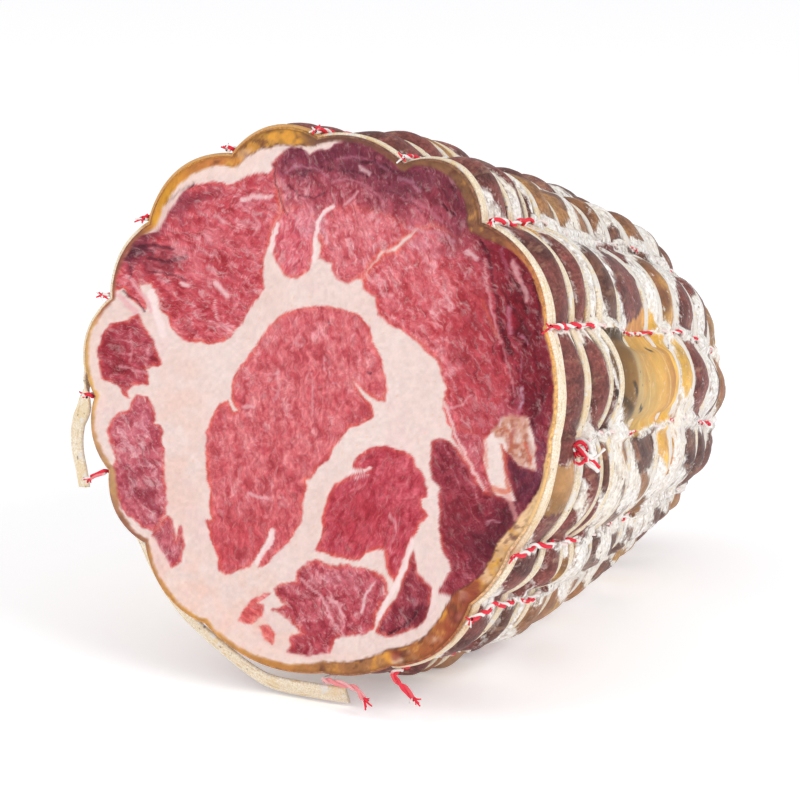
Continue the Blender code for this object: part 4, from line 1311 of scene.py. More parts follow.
class SkinPaint:
    """The casing at places on the outside: its colour, how far inside a bare
    place it is in millimetres, and how golden it is."""

    def __init__(self, column, y, inside, number, degrees):
        self.column, self.y, self.across = column, y, column * COLUMN_MM
        self.wide = rough(self.across, y, 14, 71)
        self.near = rough(self.across, y, 4.5, 72)
        self.fine = rough(self.across, y, 2.0, 73, 2)
        self.skin = np.ones(y.shape + (3,)) * np.array(SKIN["plum"], float)
        self.lay_by_chance(number, degrees)
        self.lay_shown(inside)
        golden = ease(120, 150, self.skin[..., 0]) * ease(50, 90, self.skin[..., 0] - self.skin[..., 2])
        self.gold = golden * (0.35 + 0.65 * ease(7.4, 8.4, column))
        self.lay_mottles()
        self.lay(rim_value(degrees, 3) * 1.04, 0.9 * (1 - ease(0.3, 1.0, y)))
        for marks, tint in ((MARKS, (44, 34, 26)), (BRIGHT_LINES, (236, 216, 160))):
            self.lay_marks(marks, tint)
        self.skin = np.clip(self.skin, 0, 255)

    def lay(self, tint, share):
        """A colour, or colours, over what is there."""
        self.skin = mix(self.skin, tint, share)

    def lay_by_chance(self, number, degrees):
        """Darker with distance, a colour for each window, and patches of fat."""
        y, near = self.y, self.near
        self.lay(SKIN["dark"], ease(30, 80, y) * (0.5 + 0.5 * self.wide))
        self.lay(SKIN["brown"], 0.7 * ease(0.40, 0.75, number - 0.25 * near))
        self.lay(SKIN["tan"], 0.6 * ease(0.74, 0.95, number - 0.2 * near))
        self.lay(SKIN["gold"], patch_share(degrees + 5 * near, y + 2 * near))

    def lay_shown(self, inside):
        """The bare places that the photo shows, in place of those by chance."""
        shown = is_shown(self.column, self.y)
        self.bare = np.where(shown, -6.0, inside)
        x = self.across + 0.8 * self.near + 0.35 * self.fine
        z = self.y + 0.8 * self.wide + 0.4 * self.fine
        for kind, corners in BARE:
            outline = in_columns(corners)
            (left, front), (right, back) = np.min(outline, axis=0) - 7, np.max(outline, axis=0) + 7
            here = (self.across > left) & (self.across < right) & (self.y > front) & (self.y < back)
            depth = depth_in(x[here], z[here], outline)
            first = (depth >= self.bare[here]) & shown[here]
            self.skin[here] = np.where(first[:, None], SKIN[kind], self.skin[here])
            self.bare[here] = np.where(shown[here], np.maximum(depth, self.bare[here]), self.bare[here])

    def lay_mottles(self):
        """Shades of the swollen cell, runs in the fat and mottles in the rest."""
        y, across, wide, near, gold = self.y, self.across, self.wide, self.near, self.gold
        swollen = (self.column > CELL_COLUMNS[0]) & (self.column < CELL_COLUMNS[1]) & (gold > 0.5)
        swollen = swollen & (y > CELL_BEHIND[0] - 3) & (y < CELL_SHADES[-1][0])
        places = np.array([row[0] for row in CELL_SHADES])
        shades = np.array([row[1] for row in CELL_SHADES], float)
        sunk = 3.0 * np.abs(self.column - sum(CELL_COLUMNS) / 2)
        shaded = read_rows(y + 2.2 * wide + 0.8 * near - sunk, places, shades) * CELL_TINGE
        self.skin = np.where(swollen[..., None], shaded, self.skin)
        run = (rough(across * 0.4, y, 11, 75) + 0.3 * near) * np.where(swollen, 0.25, 1.0)
        self.lay((236, 188, 82), 0.8 * gold * ease(0.0, 0.6, run))
        self.lay((152, 108, 60), 0.6 * gold * ease(0.15, 0.8, -run))
        self.lay((206, 190, 138), 0.5 * gold * ease(0.3, 0.9, rough(across * 0.5, y, 8, 74)))
        self.lay((156, 104, 74), 0.55 * (1 - gold) * ease(0.25, 0.9, near) * ease(10, 50, y + 20 * wide))
        self.lay((78, 42, 40), 0.5 * (1 - gold) * ease(0.1, 0.8, -near))
        grainy = (0.10 * self.fine + 0.08 * near) * np.where(swollen, 0.4, 1.0)
        self.skin = self.skin * (1 + grainy)[..., None]

    def lay_marks(self, marks, tint):
        """Short lines, bare of bloom."""
        x, z = self.across + 0.3 * self.near, self.y + 0.3 * self.near
        for route, half, share in marks:
            off = -depth_in(x, z, in_columns(route), closed=False)
            amount = (1 - ease(half * 0.5, half * 1.4, off)) * share
            self.lay(tint, amount)
            self.bare = np.maximum(self.bare, np.where(amount > 0.3, 1.0, -9.0))


def casing_paint():
    """Dark casing with yellow fat, white bloom where it isn't bare, and painted shade in the creases along
    the rings.
    """
    paint = Paint("casing", 0.5)
    far, edge = paint.attribute("behind"), paint.attribute("edge")
    cloud = paint.noise(60.0, 3.0, 0.6)
    fine = paint.noise(1100.0, 4.0, 0.7)
    mid = paint.noise(300.0, 4.0, 0.65)
    lines = paint.noise(420.0, 3.0, 0.6, paint.scaled(paint.coordinates, (1.0, 0.25, 1.0)))
    hairs = paint.noise(700.0, 2.0, 0.6, paint.scaled(paint.coordinates, (0.35, 1.0, 0.35)))
    shade = paint.mix(paint.between(fine, 0.32, 0.68), (0.55, 0.50, 0.50), (1.45, 1.45, 1.45))
    plain = paint.less(1.0, paint.times(paint.attribute("gold"), 0.85))
    skin = paint.mix(paint.times(plain, 0.8), paint.attribute("skin", "Color"), shade, "MULTIPLY")
    skin = paint.layers(
        skin,
        (paint.times(plain, paint.between(hairs, 0.25, 0.45, 0.35, 0.0)), (62, 34, 30)),
        (paint.times(plain, paint.between(lines, 0.56, 0.74, 0.0, 0.40)), (186, 146, 118)),
        (paint.between(paint.spots(210.0), 0.03, 0.09, 0.7, 0.0), (70, 44, 34)),
    )
    # Bare inside the windows, white around them with a ragged edge.
    ragged = paint.times(paint.less(mid, 0.5), 1.3)
    for unevenness, size in ((fine, 1.5), (hairs, 1.0)):
        ragged = paint.plus(ragged, paint.times(paint.less(unevenness, 0.5), size))
    bare = paint.plus(paint.attribute("bare"), ragged)
    veil = paint.times(paint.between(mid, 0.54, 0.66), paint.between(fine, 0.46, 0.62))
    veil = paint.times(veil, paint.between(far, 0.10, 0.5, 0.10, 0.65))
    dusty = paint.times(paint.between(bare, 0.0, 0.9, 0.35, 0.0), paint.between(fine, 0.47, 0.60))
    cover = paint.between(bare, -0.85, -0.05, 1.0, 0.0)
    for extra in (veil, dusty):
        cover = paint.math("MAXIMUM", cover, extra)
    worn = paint.times(paint.between(bare, -2.6, -0.7, 0.15, 0.7), paint.between(fine, 0.46, 0.56, 1.0, 0.0))
    cover = paint.less(cover, paint.times(worn, paint.between(hairs, 0.42, 0.60)), clamp=True)
    cover = paint.times(cover, paint.between(far, 0.006, 0.020, 0.0, 1.0))
    # Painted shade: the bloom and the bare casing are darkened brown in the crease along each ring's edge, in
    # patches.
    painted_crease_shade = paint.times(paint.between(edge, 0.05, 0.55, 0.85, 0.0), paint.between(mid, 0.36, 0.58, 0.2, 1.0))
    painted_crease_shade = paint.times(painted_crease_shade, paint.between(far, 0.03, 0.06))
    white = paint.mix(paint.between(fine, 0.3, 0.7), on_screen(214, 206, 198), on_screen(250, 248, 244))
    white = paint.layers(
        white,
        (paint.between(cloud, 0.46, 0.66, 0.0, 0.45), (236, 222, 200)),
        (paint.between(hairs, 0.57, 0.72, 0.0, 0.6), (150, 116, 92)),
        (paint.between(paint.spots(300.0), 0.05, 0.13, 0.75, 0.0), (120, 80, 58)),
        # painted shade in the creases along the rings
        (painted_crease_shade, (122, 84, 62)),
    )
    # Painted shade in the creases along the rings, on the bare casing too.
    skin = paint.layers(skin, (paint.times(painted_crease_shade, plain), (72, 44, 36)))
    skin = paint.mix(cover, skin, white)
    paint.set(Base_Color=skin, Roughness=paint.between(cover, 0.0, 1.0, 0.50, 0.9), Specular_IOR_Level=0.3)
    bump = paint.plus(paint.times(cover, 0.6), paint.times(fine, 0.6))
    bump = paint.plus(bump, paint.times(hairs, 0.35))
    paint.bump(paint.times(bump, plain), 0.7, 0.0005)
    paint.set(Subsurface_Weight=0.05, Subsurface_Radius=(1.0, 0.4, 0.25), Subsurface_Scale=0.001)
    return paint.material


def build_flank():
    """The outside: lobes in their casing, sunk under rings and twines."""
    paint = casing_paint()
    steps = 36
    column = np.arange(LOBES * steps) / steps * LOBE_STEPS
    seam = RINGS[SEAM_RING][0]
    near_rows, far_rows = ((158, 150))
    front = np.concatenate([RIM_ROWS, np.linspace(0.9, seam, near_rows)])
    back = np.linspace(seam, LAST_STATION, far_rows)
    return [
        build_flank_part("coppa_flank_front", column, front, paint, True),
        build_flank_part("coppa_flank_back", column, back, paint, False),
    ]


def build_flank_part(name, column, behind, paint, is_front):
    """The outside from ring to ring, the front one turned in at the rim and the
    back one closed at the tip."""
    c, y = np.meshgrid(column, behind)
    lobe, share, angle = lobe_of(c)
    degrees = np.degrees(angle) % 360
    next_lobe = (lobe + 1) % LOBES
    lobe_turn = np.radians((TWINE_ANGLES[next_lobe] - TWINE_ANGLES[lobe]) % 360)
    valley = np.minimum(share, 1 - share) * (lobe_turn * MEAN_RADIUS * station(y)[0])
    edge = np.full(y.shape, 99.0)
    for (place, _), wide in zip(RINGS, SHOWN_WIDTHS):
        edge = np.minimum(edge, from_ring(y, place, wide))
    inside, rise, number = windows(c, y)
    round_x = np.minimum(degrees, 360 - degrees) / 360 * 340 + 7 * (degrees > 180)
    wave = rough(round_x, y, 9, 61) + 0.5 * rough(round_x, y, 3.5, 62)
    lift = 0.12 + rise + 0.22 * wave * ease(0.2, 1.6, edge) * ease(0.5, 3.0, y)
    # Bloom and fat banked against the bands and over the twines
    off_bare = 1 - ease(-0.6, 0.5, inside)
    crumbs = rough(round_x, y, 1.7, 63, 2)
    behind_rim = ease(4, 9, y)
    bank = 0.55 * (1 - ease(0.1, 1.1, edge)) * (0.75 + 0.5 * crumbs) * (0.25 + 0.75 * ease(14, 46, y))
    lift = lift + bank * behind_rim * (edge > 0.01)
    lift = lift + 0.18 * crumbs * off_bare * ease(0.1, 0.6, edge) * behind_rim
    twine = np.where(share < 0.5, lobe, next_lobe)
    covered = np.ones(y.shape)
    for index in range(LOBES):
        covered = np.where(twine == index, 1 - shown_twine(index, y), covered)
    off_ring = ease(0.2, 1.0, edge)
    over_twine = (1 - ease(0.4, 2.6, valley)) * covered * off_ring
    lift = lift + 1.45 * over_twine + 0.4 * (1 - ease(0.3, 2.2, valley)) * behind_rim * off_ring
    # No ring shows in the swollen cell
    left, right = CELL_COLUMNS
    start, end = CELL_BEHIND
    cell = ease(left + 0.3, left + 1.0, c) * (1 - ease(right - 1.0, right - 0.2, c))
    cell = cell * ease(start + 1, start + 9, y) * (1 - ease(end - 8, end - 1, y))
    lift = np.where(cell > 0, np.maximum(lift, cell * (1.7 + 0.9 * np.sin(math.pi * share))), lift)
    if is_front:
        lift[:len(RIM_LIFTS)] = np.array(RIM_LIFTS)[:, None]
    rows = outside(c, y, lift)
    closing = []
    if is_front:
        rows[0] += INWARD
    else:
        from_tip = rows[-1] - TIP_POINT
        closing = [TIP_POINT + from_tip * k + (0, 0.35 * (1 - k), 0) for k in (0.66, 0.33, 0.02)]
    extra = len(closing)
    points = np.concatenate([rows.reshape(-1, 3)] + closing)
    item = add_mesh(name, points, [strips(len(behind) + extra, len(column))], paint)
    casing = SkinPaint(c, y, np.minimum(inside, valley - 1.1 - 1.0 * ease(15, 90, y)), number, degrees)
    bare = casing.bare + 0.9 * ease(18, 20, c) * (1 - ease(27.5, 29, c))
    covering = 0.8 * (1 - ease(0.0, 0.5, edge)) * ease(20, 80, y) * (1 - ease(0, 0.3, cell))
    values = {
        "bare": bare - 1.2 * over_twine - covering,
        "behind": y / MEAT_LENGTH,
        "edge": np.minimum(edge, 4.0),
        "gold": casing.gold,
    }
    for kind, table in values.items():
        add_values(item, kind, np.concatenate([table.ravel()] + [table[-1]] * extra))
    skin = np.concatenate([casing.skin.reshape(-1, 3)] + [casing.skin[-1]] * extra)
    add_values(item, "skin", linear(skin / 255), "FLOAT_COLOR")
    return item


# The rings
RIBS = 5
BAND_PROFILE = 17


def band_profile():
    """Round a band one wide: side, height in millimetres and share across."""
    s = np.linspace(-1, 1, BAND_PROFILE)
    top = 0.80 * (1 - np.abs(s) ** 5) ** 0.5 + 0.10 * np.cos(s * math.pi * RIBS) * (1 - np.abs(s) ** 4)
    bottom = np.array([0.8, 0.0, -0.8])
    across = np.concatenate([s, bottom])
    return across / 2, np.concatenate([np.maximum(top, 0.12), np.zeros(3)]), across


def elastic_paint():
    """Woven cream elastic, stained by fat, dusted white towards the back."""
    paint = Paint("elastic", 0.85)
    across = paint.attribute("across")
    along = paint.attribute("along")
    join = paint.nodes.new("ShaderNodeCombineXYZ")
    paint.feed(join.inputs[0], along)
    paint.feed(join.inputs[1], across)
    threads = paint.noise(1.6, 3.0, 0.65, paint.scaled(join.outputs[0], (1.6, 3.2, 1.0)))
    runs = paint.noise(1.0, 2.0, 0.6, paint.scaled(join.outputs[0], (0.25, 4.0, 1.0)))
    cloud = paint.noise(120.0, 3.0, 0.6)
    mid = paint.noise(420.0, 4.0, 0.65)
    stained = paint.plus(paint.attribute("stain"), paint.between(threads, 0.3, 0.7, -0.25, 0.25))
    dust = paint.plus(paint.attribute("dust"), paint.between(mid, 0.3, 0.7, -0.45, 0.45))
    dust = paint.plus(dust, paint.between(cloud, 0.35, 0.65, -0.2, 0.2))
    specks = paint.between(paint.spots(420.0), 0.06, 0.17, 1.0, 0.0)
    specks = paint.times(specks, paint.between(cloud, 0.42, 0.56))
    base = paint.mix(paint.between(threads, 0.3, 0.7), on_screen(222, 200, 164), on_screen(252, 244, 228))
    base = paint.layers(
        base,
        (paint.between(runs, 0.52, 0.70, 0.0, 0.6), (204, 164, 108)),
        (paint.between(cloud, 0.50, 0.68, 0.0, 0.5), (228, 196, 138)),
        (paint.between(stained, 0.35, 0.8, 0.0, 0.85), (206, 146, 66)),
        (paint.between(dust, 0.35, 0.60, 0.0, 0.85), (232, 228, 223)),
        (paint.times(specks, 0.7), (96, 68, 50)),
    )
    paint.set(Base_Color=base)
    paint.bump(paint.plus(threads, paint.times(runs, 0.7)), 0.7, 0.0003)
    return paint.material


def sweep_band(name, centres, outs, sides, width, along, closed, material, stain, dust=0.0):
    """A ribbed band through centres, outs is its outward way, sides its width way."""
    count = len(centres)
    side, top, across = band_profile()
    width = np.broadcast_to(width, (count,))
    rows = (
        centres[:, None, :]
        + sides[:, None, :] * (side[None, :, None] * width[:, None, None])
        + outs[:, None, :] * top[None, :, None]
    )
    per = len(side)
    points = rows.reshape(-1, 3)
    extra = []
    if closed:
        faces = [strips(count + 1, per) % len(points)]
    else:
        start, end = len(points), len(points) + 1
        j = np.arange(per)
        k = (j + 1) % per
        last = (count - 1) * per
        start_cap = np.stack([k, j, j * 0 + start], axis=-1)
        end_cap = np.stack([last + j, last + k, j * 0 + end], axis=-1)
        faces = [strips(count, per), start_cap, end_cap]
        points = np.concatenate([points, [rows[0].mean(axis=0), rows[-1].mean(axis=0)]])
        extra = [0.0, 0.0]
    item = add_mesh(name, points, faces, material)
    add_values(item, "across", np.concatenate([np.tile(across, count), extra]))
    for kind, values in (("along", along), ("stain", stain), ("dust", dust)):
        values = np.repeat(np.broadcast_to(values, (count,)), per)
        add_values(item, kind, np.concatenate([values, extra]))
    return item


def ring_lines(columns, place, seed):
    """Middle line, outward way, width way and walked lengths of a ring."""
    y = place + 0.30 * ripple(columns, 5.0, seed)
    centre = outside(columns, y, 0.22, 0.25)
    out = outside(columns, y, 1.22, 0.25) - centre
    ahead = outside(columns, y + 0.5, 0.22, 0.25) - outside(columns, y - 0.5, 0.22, 0.25)
    # Near the ground the outward way is almost level, so the ring stays above it.
    out[:, 2] = np.where(centre[:, 2] < 1.3, np.sign(out[:, 2]) * 0.2, out[:, 2])
    return centre, unit(out), unit(ahead), walk(centre)


def build_rings(material):
    """The rings from the second on."""
    made = []
    steps = 8
    columns = np.arange(COLUMNS * steps) / steps
    turn = np.degrees(lobe_of(columns)[2]) % 360
    for index in range(1, len(RINGS)):
        place = RINGS[index][0]
        centre, out, side, along = ring_lines(columns, place, 200 + index)
        ragged = 0.12 * ripple(columns, 4.0, 300 + index) + 0.08 * ripple(columns, 0.9, 320 + index)
        wide = SHOWN_WIDTHS[index] * (1 + ragged)
        fatty = patch_share(turn, np.full(turn.shape, place))
        stain = np.clip(0.4 * ripple(columns, 6.0, 400 + index) + 0.8 * fatty, 0, 1)
        dust = ease(8, 70, place) * 0.6 + 0.15
        name = f"ring_{index + 1:02d}"
        item = sweep_band(name + "_elastic", centre, out, side, wide, along, True, material, stain, dust)
        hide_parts(name)
        made.append(item)
    return made


def free_ways(points, twist):
    """Outward and width ways of a band that hangs free of the meat, twisted."""
    along = unit(np.gradient(points, axis=0))
    middle = points * (0, 1, 0) + (AXIS_X, 0, FACE_HEIGHT)
    out = square_to(along, points - middle)
    side = np.tile([0.0, 1.0, 0.0], (len(points), 1))
    twist = twist[:, None]
    return out * np.cos(twist) - side * np.sin(twist), side * np.cos(twist) + out * np.sin(twist)


def build_cut_ring(material):
    """The first ring in its groove, and its end that hangs free."""
    steps = 8
    held = np.arange(CUT_COLUMN * steps, (FREE_COLUMN - COLUMNS) * steps - 1, -1) / steps % COLUMNS
    full = SHOWN_WIDTHS[0]
    centre, out, side, along = ring_lines(held, RINGS[0][0], 200)
    hanging = [net_point(x + FREE_END_OUT, y, z) for x, y, z in FREE_END]
    free, walked = smooth_line([centre[-1]] + hanging, BAND_STEP)
    free_out, free_side = free_ways(free, FREE_TURN * ease(0, 9, walked))
    blend = np.minimum(np.arange(1, len(free)) / 6, 1)
    outs = unit(np.concatenate([out, mix(out[-1], free_out[1:], blend)]))
    sides = unit(np.concatenate([side, mix(side[-1], free_side[1:], blend)]))
    lengths = np.concatenate([along, along[-1] + walked[1:]])
    turn = np.concatenate([np.degrees(lobe_of(held)[2]) % 360, np.full(len(blend), FREE_END_ANGLE)])
    slim = (1 - ease(50, 68, turn)) + ease(340, 356, turn)
    wide = full * (1 - 0.34 * np.minimum(slim, 1)) * (1 + 0.10 * ripple(lengths, 7.0, 300))
    wide[len(held):] *= 1 + 0.3 * blend
    points = np.concatenate([centre, free[1:]]) - sides * ((full - wide) / 2 + 0.8)[:, None]
    hidden = ease(300, 312, turn) * (1 - ease(350, 358, turn))
    stain = np.clip(0.10 + 0.5 * ripple(lengths, 9.0, 401) + 1.2 * hidden, 0, 1)
    item = sweep_band("ring_01_elastic", points, outs, sides, wide, lengths, False, material, stain)
    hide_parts("ring_01")
    return item


def build_loose_band(material):
    """The other part of the cut ring, loose under the rim and on the ground."""
    route = [net_point(*p) for p in BAND_ROUTE]
    points, walked = smooth_line(route, BAND_STEP)
    outs, sides = free_ways(points, BAND_TURN * ease(0, 12, walked))
    wide = BAND_WIDTH * (0.86 + 0.18 * ease(30, 60, walked) + 0.08 * ripple(walked, 14.0, 321))
    least = wide / 2 * np.abs(sides[:, 2]) + 0.9 * np.abs(outs[:, 2])
    points[:, 2] = least + np.log1p(np.exp((points[:, 2] - least) * 1.6)) / 1.6
    stain = np.clip(0.15 + 0.5 * ripple(walked, 12.0, 402), 0, 1)
    points = points - outs * 0.55
    item = sweep_band("loose_band_elastic", points, outs, sides, wide, walked, False, material, stain)
    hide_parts("loose_band")
    path, length = smooth_line(route, 4.0)
    return item


# The twines
PITCH = 7.0
PLY_RADII = (0.41, 0.34)
PLY_OFFSET = 0.33
FRAY_RADIUS = 0.28
TWINE_START = 0.4
# The knot: the twine that is tied and the place of the knot's middle, as a
# column, a distance behind the face and a lift. Its strands run through places
# right and down of the middle in picture points, and towards the camera in
# millimetres, each with its thickness and ply.
KNOT_TWINE = 4
KNOT_PLACE = (16.65, 9.9, 2.6)
PICTURE_MM = 0.190
KNOT_STRANDS = [
    ([
        (-13, -2, 0.2), (-12, -9, 0.8), (-6, -15, 1.2), (0, -13, 1.3), (3, -7, 1.0), (-1, -1, 0.8),
        (-6, -4, 0.5),
    ], 0.40, 0),
    ([
        (-10, -16, 0.0), (-3, -18, 0.7), (4, -14, 1.5), (7, -7, 1.7), (5, 1, 1.5), (0, 5, 0.9),
        (-3, 1, 0.3),
    ], 0.46, 1),
    ([(-4, -9, 1.2), (1, -4, 1.8), (6, 1, 1.9), (9, 3, 1.4)], 0.40, 1),
    ([(-9, -11, 0.9), (-4, -6, 1.7), (1, 0, 1.9), (2, 5, 1.4)], 0.38, 0),
    ([(2, 3, 1.2), (-4, 8, 1.3), (-9, 7, 1.0), (-13, 3, 0.6)], 0.40, 0),
    ([(3, 2, 1.4), (8, 4, 1.5), (12, 7, 1.2), (16, 12, 0.8)], 0.40, 0),
    ([(2, 4, 0.9), (6, 9, 1.1), (11, 12, 0.9), (15, 16, 0.4)], 0.44, 1),
    ([(10, 3, 0.6), (16, -2, 0.2), (22, -8, -0.2)], 0.36, 1),
]


def twine_paint():
    """Red and white plies, dusted white where bloom lies on them."""
    paint = Paint("twine", 0.85)
    red = paint.mix(paint.noise(1400.0, 2.0), on_screen(214, 30, 52), on_screen(240, 52, 74))
    white = paint.mix(paint.noise(1400.0, 2.0), on_screen(222, 214, 210), on_screen(250, 247, 244))
    dust = paint.plus(paint.attribute("dust"), paint.between(paint.noise(300.0, 3.0), 0.3, 0.7, -0.5, 0.5))
    base = paint.mix(paint.attribute("ply"), red, white)
    paint.set(Base_Color=paint.layers(base, (paint.between(dust, 0.45, 0.65, 0.0, 0.85), (236, 230, 226))))
    paint.bump(paint.noise(2200.0, 2.0), 0.5, 0.0002)
    return paint.material


class Tubes:
    """Round threads gathered into one mesh."""

    def __init__(self):
        self.points, self.faces, self.ply, self.dust, self.count = [], [], [], [], 0

    def add(self, line, radius, ply, dust, sides=7):
        """A thread along a line, ply 0 is red and 1 is white."""
        along = unit(np.gradient(line, axis=0))
        a = unit(np.cross(along, (0.13, 0.21, 0.97)))
        b = np.cross(along, a)
        radius, ply, dust = [np.broadcast_to(values, (len(line),)) for values in (radius, ply, dust)]
        turn = np.arange(sides)[None, :, None] * math.tau / sides
        ways = np.cos(turn) * a[:, None, :] + np.sin(turn) * b[:, None, :]
        self.points.append((line[:, None, :] + radius[:, None, None] * ways).reshape(-1, 3))
        self.faces.append(strips(len(line), sides, first=self.count))
        self.ply.append(np.repeat(ply, sides))
        self.dust.append(np.repeat(dust, sides))
        self.count += len(line) * sides

    def build(self, name, material):
        points = np.concatenate(self.points)
        points[:, 2] = np.maximum(points[:, 2], 0.05)
        item = add_mesh(name, points, self.faces, material)
        add_values(item, "ply", np.concatenate(self.ply))
        add_values(item, "dust", np.concatenate(self.dust))
        return item


def two_ply(tubes, line, walked, ways, seed, dust, thin=1.0, tinge=0.0, rubbed=0.0):
    """Two plies twisted round a line. ways is the outward way along it, rubbed the
    shade that the plies share and tinge by how much."""
    along = unit(np.gradient(line, axis=0))
    out = square_to(along, ways)
    across = np.cross(along, out)
    phase = walked / PITCH * math.tau + seed * 1.7 + 1.2 * ripple(walked, 9.0, seed)
    phase = phase - 0.6 * np.sin(phase)
    lumps = 1 + 0.18 * ripple(walked, 1.3, seed + 77)
    for ply in (0, 1):
        turn = (phase + math.pi * ply)[:, None]
        middle = line + np.cos(turn) * PLY_OFFSET * out + np.sin(turn) * PLY_OFFSET * across
        tubes.add(middle, PLY_RADII[ply] * thin * lumps, ply + tinge * (rubbed - ply), dust)


def fray(tubes, start, way, seed, strands, length, spread=0.5):
    """Loose strands at the cut end of a twine."""
    t = np.linspace(0, 1, 6)[:, None]
    draws = np.arange(7)
    for k in range(strands):
        r = dice(k + 11 * draws, seed, 500 + draws) - 0.5
        aim = unit(way + spread * r[:3])
        line = start + 0.5 * r[3:6] + aim * t * length * (0.7 + 0.6 * abs(r[6]))
        line = line + r[3:6] * 1.2 * t**2 * 1.6
        tubes.add(line, FRAY_RADIUS * (1 - 0.4 * t[:, 0]), 0 if k % 4 else 1, 0.0, 5)


def twine_line(index, step):
    """A twine from its cut end to the round end: points step apart, outward ways,
    distances walked and distances behind the face."""
    column = index * LOBE_STEPS
    y = np.arange(SHORT_STARTS.get(index, TWINE_START), LAST_STATION, step)
    over = np.zeros(y.shape)
    for place, wide in RINGS:
        over = np.maximum(over, 1 - ease(wide / 2 - 0.2, wide / 2 + 2.4, np.abs(y - place)))
    lift = 0.80 + 0.95 * over + 0.25 * shown_twine(index, y)
    lift = np.where(y > 135, np.maximum(lift, 1.5), lift)
    aside, reach = TWINE_ASIDE.get(index, (0.0, 20.0))
    beside = column + aside * (1 - ease(reach - 14, reach, y))
    base = outside(beside, y, lift, 0.95)
    out = outside(beside, y, lift + 1.0, 0.95) - base
    out[:, 2] = np.where(np.abs(out[:, 2]) < 1e-6, -0.2, out[:, 2])
    line, ways = base, out
    if index not in SHORT_STARTS:
        standing = outside(column + aside, -0.9, 1.5 + 0.4 * TAIL_LENGTHS[index], 0.5)
        tail = [net_point(*p) for p in HANGING_ENDS[index]] if index in HANGING_ENDS else [standing]
        lead, _ = smooth_line(tail + [base[0], base[4]], step)
        lead = lead[:-max(int(round(np.linalg.norm(base[4] - base[0]) / step)), 1)]
        line = np.concatenate([lead[:-1], base])
        ways = np.concatenate([np.tile(out[0], (len(lead) - 1, 1)), out])
    end = outside(column, LAST_STATION, 1.5)
    finish = end + (TIP_POINT + (0.0, 1.4, 0.0) - end) * 0.45 + (0.0, 0.6, 0.0)
    line = np.concatenate([line, [finish]])
    ways = np.concatenate([ways, out[-1:]])
    walked = walk(line)
    even = np.linspace(0, walked[-1], int(walked[-1] / step))
    before = np.full(len(walked) - len(y) - 1, -2.0)
    behind = np.interp(even, walked, np.concatenate([before, y, [MEAT_LENGTH]]))
    return read_rows(even, walked, line), read_rows(even, walked, ways), even, behind


def build_twines(material):
    """The twines with their frayed ends, and the knot in one of them."""
    made = []
    step = 0.55
    for index in range(LOBES):
        line, ways, walked, behind = twine_line(index, step)
        dust = 0.85 * (1 - shown_twine(index, behind)) + 0.35 * ease(10, 40, behind)
        dust = dust + 0.30 * ripple(walked, 5.0, 700 + index)
        thin = 1 - 0.35 * ease(16, 40, behind)
        rubbed, tinge = HANGING_TINGE.get(index, (0.0, 0.0))
        tinge = tinge * (1 - ease(-2.5, 1.0, behind))
        tubes = Tubes()
        two_ply(tubes, line, walked, ways, index, dust, thin, tinge, rubbed)
        strands, length, spread = (8, 1.3, 0.5) if index in HANGING_ENDS else (5, 0.4, 0.18)
        fray(tubes, line[0], unit(line[0] - line[2]), index, strands, length, spread)
        if index == KNOT_TWINE:
            add_knot(tubes)
        name = f"twine_{index + 1:02d}"
        item = tubes.build(name + "_plies", material)
        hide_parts(name)
        made.append(item)
    return made


def add_knot(tubes):
    """A knot of the twine itself, with its cut ends."""
    middle = outside(*KNOT_PLACE)
    for k, (places, thick, ply) in enumerate(KNOT_STRANDS):
        route = [
            middle + RIGHT * (right * PICTURE_MM) - UP * (down * PICTURE_MM) + BACK * near
            for right, down, near in places
        ]
        line, walked = smooth_line(route, 0.3)
        tubes.add(line, 0.88 * thick * (1 - 0.25 * ripple(walked, 1.6, 800 + k)), ply, 0.12, 8)


def build_end_knot(material):
    """The turns of twine that close the net on the round end."""
    tubes = Tubes()
    centre = TIP_POINT + (0.0, 1.2, 0.0)
    t = np.linspace(0, 1, 260)
    turn = t * math.tau * 4
    radius = 3.4 - 1.9 * t
    line = centre + np.stack([radius * np.cos(turn), 0.2 + 2.2 * t, radius * np.sin(turn)], axis=-1)
    two_ply(tubes, line, walk(line), np.tile([0.01, 1.01, 0.01], (len(t), 1)), 5, 0.3)
    fray(tubes, centre + (0.8, 2.6, 0.4), np.array([0.5, 0.8, 0.3]), 60, 6, 2.0)
    item = tubes.build("end_knot_plies", material)
    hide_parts("end_knot")
    return item


# Camera, light and ground, in metres
GROUND_SIZE = 6.0
WORLD_LIGHT = 0.70
LAMPS_AIM = Vector((0.0, 0.0, 0.05))
LAMPS = [
    ("key", (-0.35, -0.9, 0.95), 0.5, 1.8),
    ("left", (-1.15, -0.45, 0.2), 0.5, 2.6),
    ("right", (1.1, -0.45, 0.75), 0.6, 7.0),
]


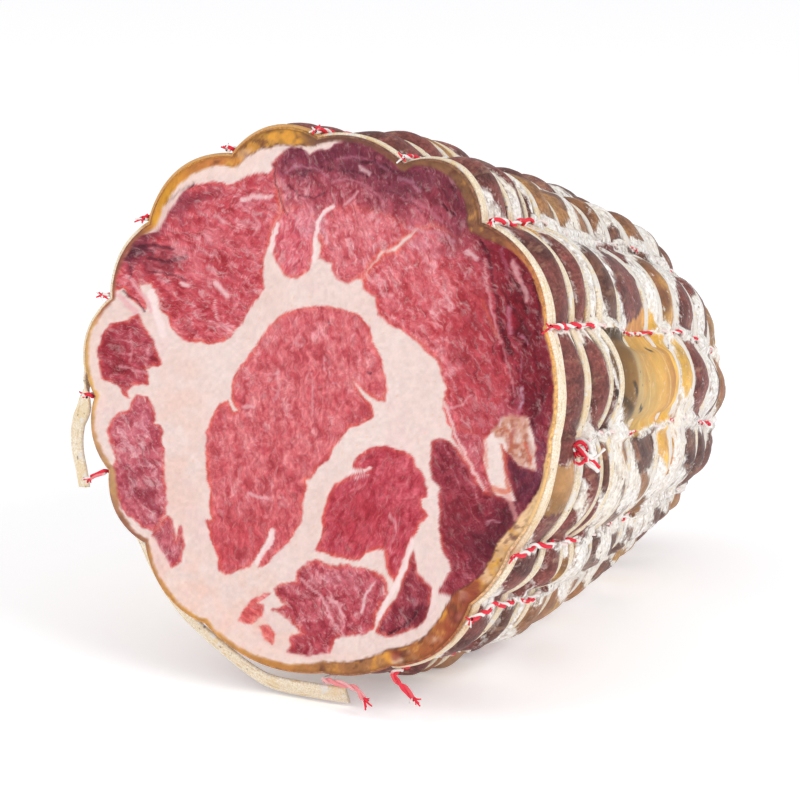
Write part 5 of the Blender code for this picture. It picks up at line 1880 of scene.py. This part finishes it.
def place_item(item, place, way, front):
    """An object at a place, its front axis along a way."""
    item.location = place
    item.rotation_mode = "QUATERNION"
    item.rotation_quaternion = way.to_track_quat(front, "Y")


def make_camera():
    """The photo's camera."""
    data = bpy.data.cameras.new("photo_camera")
    data.sensor_width = SENSOR_MM
    data.lens = SENSOR_MM * FOCAL / PICTURE
    data.shift_x = (PICTURE / 2 - AIM_IN_PICTURE[0]) / PICTURE
    data.shift_y = (AIM_IN_PICTURE[1] - PICTURE / 2) / PICTURE
    data.clip_start = 0.05
    data.clip_end = 10.0
    item = add_item("photo_camera", data)
    place_item(item, Vector(EYE * MM), Vector(BACK), "Z")
    bpy.context.scene.camera = item


def make_stage():
    """A white ground, soft light all round and three lamps."""
    mesh = bpy.data.meshes.new("ground")
    size = GROUND_SIZE
    corners = [(-size, -size, 0), (size, -size, 0), (size, size, 0), (-size, size, 0)]
    mesh.from_pydata(corners, [], [(0, 1, 2, 3)])
    paint = Paint("ground", 0.9)
    paint.set(Base_Color=(0.93, 0.93, 0.95), Specular_IOR_Level=0.1)
    paint.set(Emission_Color=(1.0, 1.0, 1.0), Emission_Strength=0.26)
    mesh.materials.append(paint.material)
    add_item("ground", mesh)
    world = bpy.data.worlds.new("studio")
    world.use_nodes = True
    world.node_tree.nodes["Background"].inputs[0].default_value = (1.0, 1.0, 1.0, 1.0)
    world.node_tree.nodes["Background"].inputs[1].default_value = WORLD_LIGHT
    bpy.context.scene.world = world
    for name, place, size, power in LAMPS:
        data = bpy.data.lights.new(name, "AREA")
        data.shape = "SQUARE"
        data.size = size
        data.energy = power
        lamp = add_item(name, data)
        place_item(lamp, place, LAMPS_AIM - Vector(place), "-Z")
    bpy.context.scene.view_settings.view_transform = "Standard"


def main():
    made = [build_face()] + build_flank()
    for piece in made:
        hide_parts("coppa")
    elastic, twine = elastic_paint(), twine_paint()
    bands = build_rings(elastic) + [build_cut_ring(elastic), build_loose_band(elastic)]
    cords = build_twines(twine) + [build_end_knot(twine)]
    for piece in made + bands + cords:
        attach(piece, "root")
    make_camera()
    make_stage()


main()
